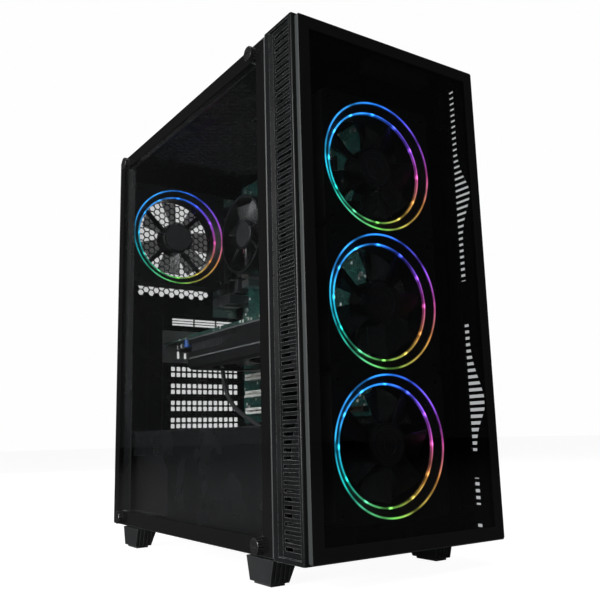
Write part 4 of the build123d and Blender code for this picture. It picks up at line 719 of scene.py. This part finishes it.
# y from the board's middle, z from its lower edge, and the two sizes of each chip
chipPlaces = [(0.01, 0.045, 0.012, 0.012), (0.03, 0.075, 0.009, 0.009), (-0.02, 0.03, 0.007, 0.009),
              (0.06, 0.02, 0.014, 0.014), (-0.055, 0.012, 0.006, 0.009), (0.083, 0.055, 0.007, 0.007),
              (0.075, 0.088, 0.009, 0.012), (-0.075, 0.085, 0.007, 0.005), (-0.02, 0.1, 0.01, 0.01),
              (0.045, 0.115, 0.0095, 0.0095)]
chipDetail = {"height": 0.0012, "edge": 0.0002}
legDetail = {"out": 0.0006, "height": 0.0004, "length": 0.0014, "width": 0.0004, "edge": 0.0001,
             "pitch": 0.00095}
boardY = (board[0].y + board[1].y) / 2
chips, legs = [], []
for dy, dz, sizeY, sizeZ in chipPlaces:
    y, z = boardY + dy, board[0].z + dz
    chips.append(onBoard(y, z, chipDetail["height"], sizeY, sizeZ, chipDetail["edge"]))
    for side in (-1, 1):
        leg = onBoard(y + side * (sizeY / 2 + legDetail["out"]), z - sizeZ / 2 + legDetail["out"],
                      legDetail["height"], legDetail["length"], legDetail["width"], legDetail["edge"])
        legs.append(leg)
        for k in range(1, int(sizeZ / legDetail["pitch"]) - 1):
            legs.append(copyOf(leg, (0, 0, k * legDetail["pitch"])))
finishPiece(chips, "board_chips", "root", "chipPlastic")
finishPiece(legs, "board_chip_legs", "root", "screwSteel")

# Headers, drive sockets and a coin cell along the lower and front edges
headerDetail = {"places": ((0.015, 0.024), (0.045, 0.024), (0.075, 0.024), (0.11, 0.02), (0.14, 0.02),
                           (0.175, 0.03)),
                "z": 0.007, "height": 0.008, "depth": 0.0055, "wall": 0.0006, "well": 0.006}
pinDetail = {"pitch": 0.00254, "start": 0.003, "height": 0.0075, "width": 0.0006, "edge": 0.0001}
driveSocket = {"count": 4, "y": 0.006, "z": 0.045, "pitch": 0.016, "height": 0.008, "size": (0.008, 0.0145),
               "edge": 0.0004, "wall": 0.0008, "well": 0.005}
cellDetail = {"y": 0.04, "z": 0.088, "radius": 0.01, "height": 0.0032, "middle": 0.0022, "edge": 0.0004,
              "lip": 0.0015, "rise": 0.0003}
headers, headerPins = [], []
headerZ = board[0].z + headerDetail["z"]
for dy, width in headerDetail["places"]:
    y = board[0].y + dy
    header = onBoard(y, headerZ, headerDetail["height"], width, headerDetail["depth"])
    headers.append(pushFaces(header, isOuterFace, headerDetail["wall"], (headerDetail["well"], 0, 0)))
    for k in range(int(width / pinDetail["pitch"]) - 1):
        for row in (-1, 1):
            headerPins.append(onBoard(y - width / 2 + pinDetail["start"] + k * pinDetail["pitch"],
                                      headerZ + row * pinDetail["pitch"] / 2, pinDetail["height"],
                                      pinDetail["width"], pinDetail["width"], pinDetail["edge"]))
for n in range(driveSocket["count"]):
    socket = onBoard(board[0].y + driveSocket["y"], board[0].z + driveSocket["z"] + n * driveSocket["pitch"],
                     driveSocket["height"], *driveSocket["size"], driveSocket["edge"])
    headers.append(pushFaces(socket, isOuterFace, driveSocket["wall"], (driveSocket["well"], 0, 0)))
finishPiece(headers, "board_headers", "root", "socketBlack")
finishPiece(headerPins, "board_header_pins", "root", "goldPins")
cell = rod((boardFace - cellDetail["middle"], boardY + cellDetail["y"], board[0].z + cellDetail["z"]),
           cellDetail["radius"], cellDetail["height"], "X", cellDetail["edge"], 40)
cell = pushFaces(cell, isOuterFace, cellDetail["lip"], (-cellDetail["rise"], 0, 0))
finishPiece([cell], "board_coin_cell", "root", "brightSteel")
print("board detail made")

# Plugs on the two leads
powerPlug = {"y": 0.0035, "step": 0.0047, "width": 0.0043, "low": 0.295, "high": 0.345, "socketHeight": 0.012,
             "length": 0.013, "edge": 0.0004}
cardPlug = {"side": 0.007, "front": 0.010, "rear": 0.004, "length": 0.013, "edge": 0.0005}
plugGap = 0.0002
plugs = []
for k in range(2):
    y = board[0].y + powerPlug["y"] + k * powerPlug["step"]
    socketFace = boardFace - powerPlug["socketHeight"]
    plugs.append(slab((socketFace - powerPlug["length"], y, powerPlug["low"]),
                      (socketFace - plugGap, y + powerPlug["width"], powerPlug["high"]), powerPlug["edge"]))
finishPiece(plugs, "board_power_plug", "root", "socketBlack")
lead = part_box("gpu_power_cable")
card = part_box("gpu_board")
plug = slab((lead[0].x - cardPlug["side"], lead[1].y - cardPlug["front"], card[0].z - cardPlug["length"]),
            (lead[1].x + cardPlug["side"], lead[1].y + cardPlug["rear"], card[0].z - plugGap),
            cardPlug["edge"])
finishPiece([plug], "gpu_power_plug", "root", "socketBlack")
print("plugs made")

# Graphics card: bright rails along its open edge, parts between them, and its connectors
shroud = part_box("gpu_shroud")
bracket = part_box("gpu_bracket")
cardCapacitor = {"count": 9, "row": 5, "pitch": 0.0115, "rowGap": 0.022, "x": 0.012, "y": 0.006,
                 "radius": 0.0032, "height": 0.0066, "middle": 0.0035, "edge": 0.0005}
blueCapacitor = {"x": 0.005, "y": 0.012, "radius": 0.0034, "height": 0.0086, "middle": 0.0045,
                 "edge": 0.0006}
# start from the bracket's left edge and length of each connector
connectorDetail = {"places": ((0.0204, 0.0198), (0.0444, 0.0168), (0.0654, 0.0168)), "depth": 0.014,
                   "height": 0.009, "gap": 0.0003, "top": 0.0002}
rails = [slab((shroud[0].x - 0.0008, shroud[0].y + 0.002, shroud[1].z - 0.0024),
              (shroud[0].x + 0.0012, shroud[1].y - 0.002, shroud[1].z - 0.0010), 0.0003),
         slab((shroud[0].x - 0.0008, shroud[0].y + 0.004, shroud[0].z + 0.012),
              (shroud[0].x + 0.0004, shroud[1].y - 0.004, shroud[0].z + 0.0135), 0.0002)]
finishPiece(rails, "gpu_edge_rails", "root", "satinSilver")
cardParts = []
for n in range(cardCapacitor["count"]):
    line, place = divmod(n, cardCapacitor["row"])
    x = card[0].x + cardCapacitor["x"] + line * cardCapacitor["rowGap"]
    y = shroud[1].y + cardCapacitor["y"] + place * cardCapacitor["pitch"]
    cardParts.append(rod((x, y, card[0].z - cardCapacitor["middle"]), cardCapacitor["radius"],
                         cardCapacitor["height"], "Z", cardCapacitor["edge"], 20))
finishPiece(cardParts, "gpu_capacitors", "root", "brightSteel")
connectors = []
for start, length in connectorDetail["places"]:
    x, y, z = bracket[0].x + start, bracket[0].y, card[0].z
    connectors.append(slab((x, y - connectorDetail["depth"], z - connectorDetail["height"]),
                           (x + length, y - connectorDetail["gap"], z - connectorDetail["top"])))
finishPiece(connectors, "gpu_connectors", "root", "socketBlack")
blueCan = rod((card[0].x + blueCapacitor["x"], shroud[1].y + blueCapacitor["y"],
               card[0].z - blueCapacitor["middle"]), blueCapacitor["radius"],
              blueCapacitor["height"], "Z", blueCapacitor["edge"], 24)
finishPiece([blueCan], "gpu_blue_capacitor", "root", "socketBlue")
print("graphics card detail made")

# Hard drive: raised lid, spindle cap and screws
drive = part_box("hard_drive")
driveMiddle = (drive[0] + drive[1]) / 2
lidDetail = {"side": 0.004, "front": 0.018, "rear": 0.004, "rise": 0.0008, "edge": 0.0005,
             "lip": 0.006, "dent": 0.0004}
boltDetail = {"side": 0.008, "front": 0.024, "rear": 0.010, "radius": 0.0026, "height": 0.0012,
              "edge": 0.0003}
spindleDetail = {"y": 0.015, "radius": 0.012, "height": 0.0012, "edge": 0.0004}
lid = slab((drive[0].x + lidDetail["side"], drive[0].y + lidDetail["front"], drive[1].z - 0.0002),
           (drive[1].x - lidDetail["side"], drive[1].y - lidDetail["rear"], drive[1].z + lidDetail["rise"]),
           lidDetail["edge"])
lid = pushFaces(lid, lambda face: face.normal.z > 0.99, lidDetail["lip"], (0, 0, -lidDetail["dent"]))
finishPiece([lid], "hard_drive_lid", "root", "driveMetal")
bolts = []
for x in (drive[0].x + boltDetail["side"], drive[1].x - boltDetail["side"]):
    for y in (drive[0].y + boltDetail["front"], drive[1].y - boltDetail["rear"]):
        bolts.append(rod((x, y, drive[1].z + 0.001), boltDetail["radius"], boltDetail["height"], "Z",
                         boltDetail["edge"], 12))
bolts.append(rod((driveMiddle.x, driveMiddle.y + spindleDetail["y"], drive[1].z + 0.0006),
                 spindleDetail["radius"], spindleDetail["height"], "Z", spindleDetail["edge"], 40))
finishPiece(bolts, "hard_drive_bolts", "root", "screwSteel")
print("drive detail made")

# Floor and soft studio light
deselect()
bpy.ops.mesh.primitive_plane_add(size=24, location=(0, 0, 0))
floor = bpy.context.object
floor.name = "floor"
floorTones = {"seen": (0.95, 0.95, 0.95, 1), "bounced": (0.05, 0.05, 0.05, 1)}
floorPaint = coated("floorPaint", (0.12, 0.12, 0.12), 0.7, scale=300, depth=0.00002, spread=0.01)
floor.data.materials.append(floorPaint)
tree = floorPaint.node_tree
lit = addNode(tree, "Emission", Color=floorTones["seen"])
dark = addNode(tree, "BsdfDiffuse", Color=floorTones["bounced"])
total = addNode(tree, "AddShader")
seenFloor = addNode(tree, "MixShader")
wire(tree, (tree.nodes["Principled BSDF"].outputs[0], total.inputs[0]), (lit.outputs[0], total.inputs[1]),
     (straightRay(tree), seenFloor.inputs[0]), (dark.outputs[0], seenFloor.inputs[1]),
     (total.outputs[0], seenFloor.inputs[2]),
     (seenFloor.outputs[0], tree.nodes["Material Output"].inputs["Surface"]))

lamps = {
    "key": {"place": (-2.0, -0.5, 0.85), "size": 0.9, "power": 46, "target": (0, 0, 0.25)},
    "low": {"place": (-1.5, -0.2, 0.22), "size": 0.4, "power": 14, "target": (0, 0, 0.25)},
    "front": {"place": (-0.6, -2.2, 0.5), "size": 0.8, "power": 4, "target": (0, 0, 0.25)},
    "top": {"place": (-0.1, -0.2, 2.3), "size": 1.8, "power": 20, "target": (0, 0, 0.3)},
    "right": {"place": (2.1, -0.1, 0.8), "size": 1.0, "power": 8, "target": (0, 0, 0.2)},
    "back": {"place": (0.5, 2.1, 0.9), "size": 1.4, "power": 10, "target": (0, 0, 0.3)},
}
for name, lamp in lamps.items():
    data = bpy.data.lights.new(name, "AREA")
    data.shape = "SQUARE"
    data.size = lamp["size"]
    data.energy = lamp["power"]
    light = bpy.data.objects.new(name, data)
    light.location = lamp["place"]
    aim = Vector(lamp["target"]) - Vector(lamp["place"])
    light.rotation_euler = aim.to_track_quat("-Z", "Y").to_euler()
    light.visible_transmission = False
    bpy.context.scene.collection.objects.link(light)

# A white surround, which lights the tower only faintly
surround = {"seen": (0.99, 0.99, 0.99, 1), "bounced": (0.018, 0.0185, 0.019, 1)}
world = bpy.data.worlds.new("studio")
bpy.context.scene.world = world
world.use_nodes = True
tree = world.node_tree
background = tree.nodes["Background"]
background.inputs["Color"].default_value = surround["bounced"]
seen = addNode(tree, "Background", Color=surround["seen"])
mix = addNode(tree, "MixShader")
wire(tree, (straightRay(tree), mix.inputs[0]), (background.outputs[0], mix.inputs[1]),
     (seen.outputs[0], mix.inputs[2]), (mix.outputs[0], tree.nodes["World Output"].inputs["Surface"]))
print("light and floor made")
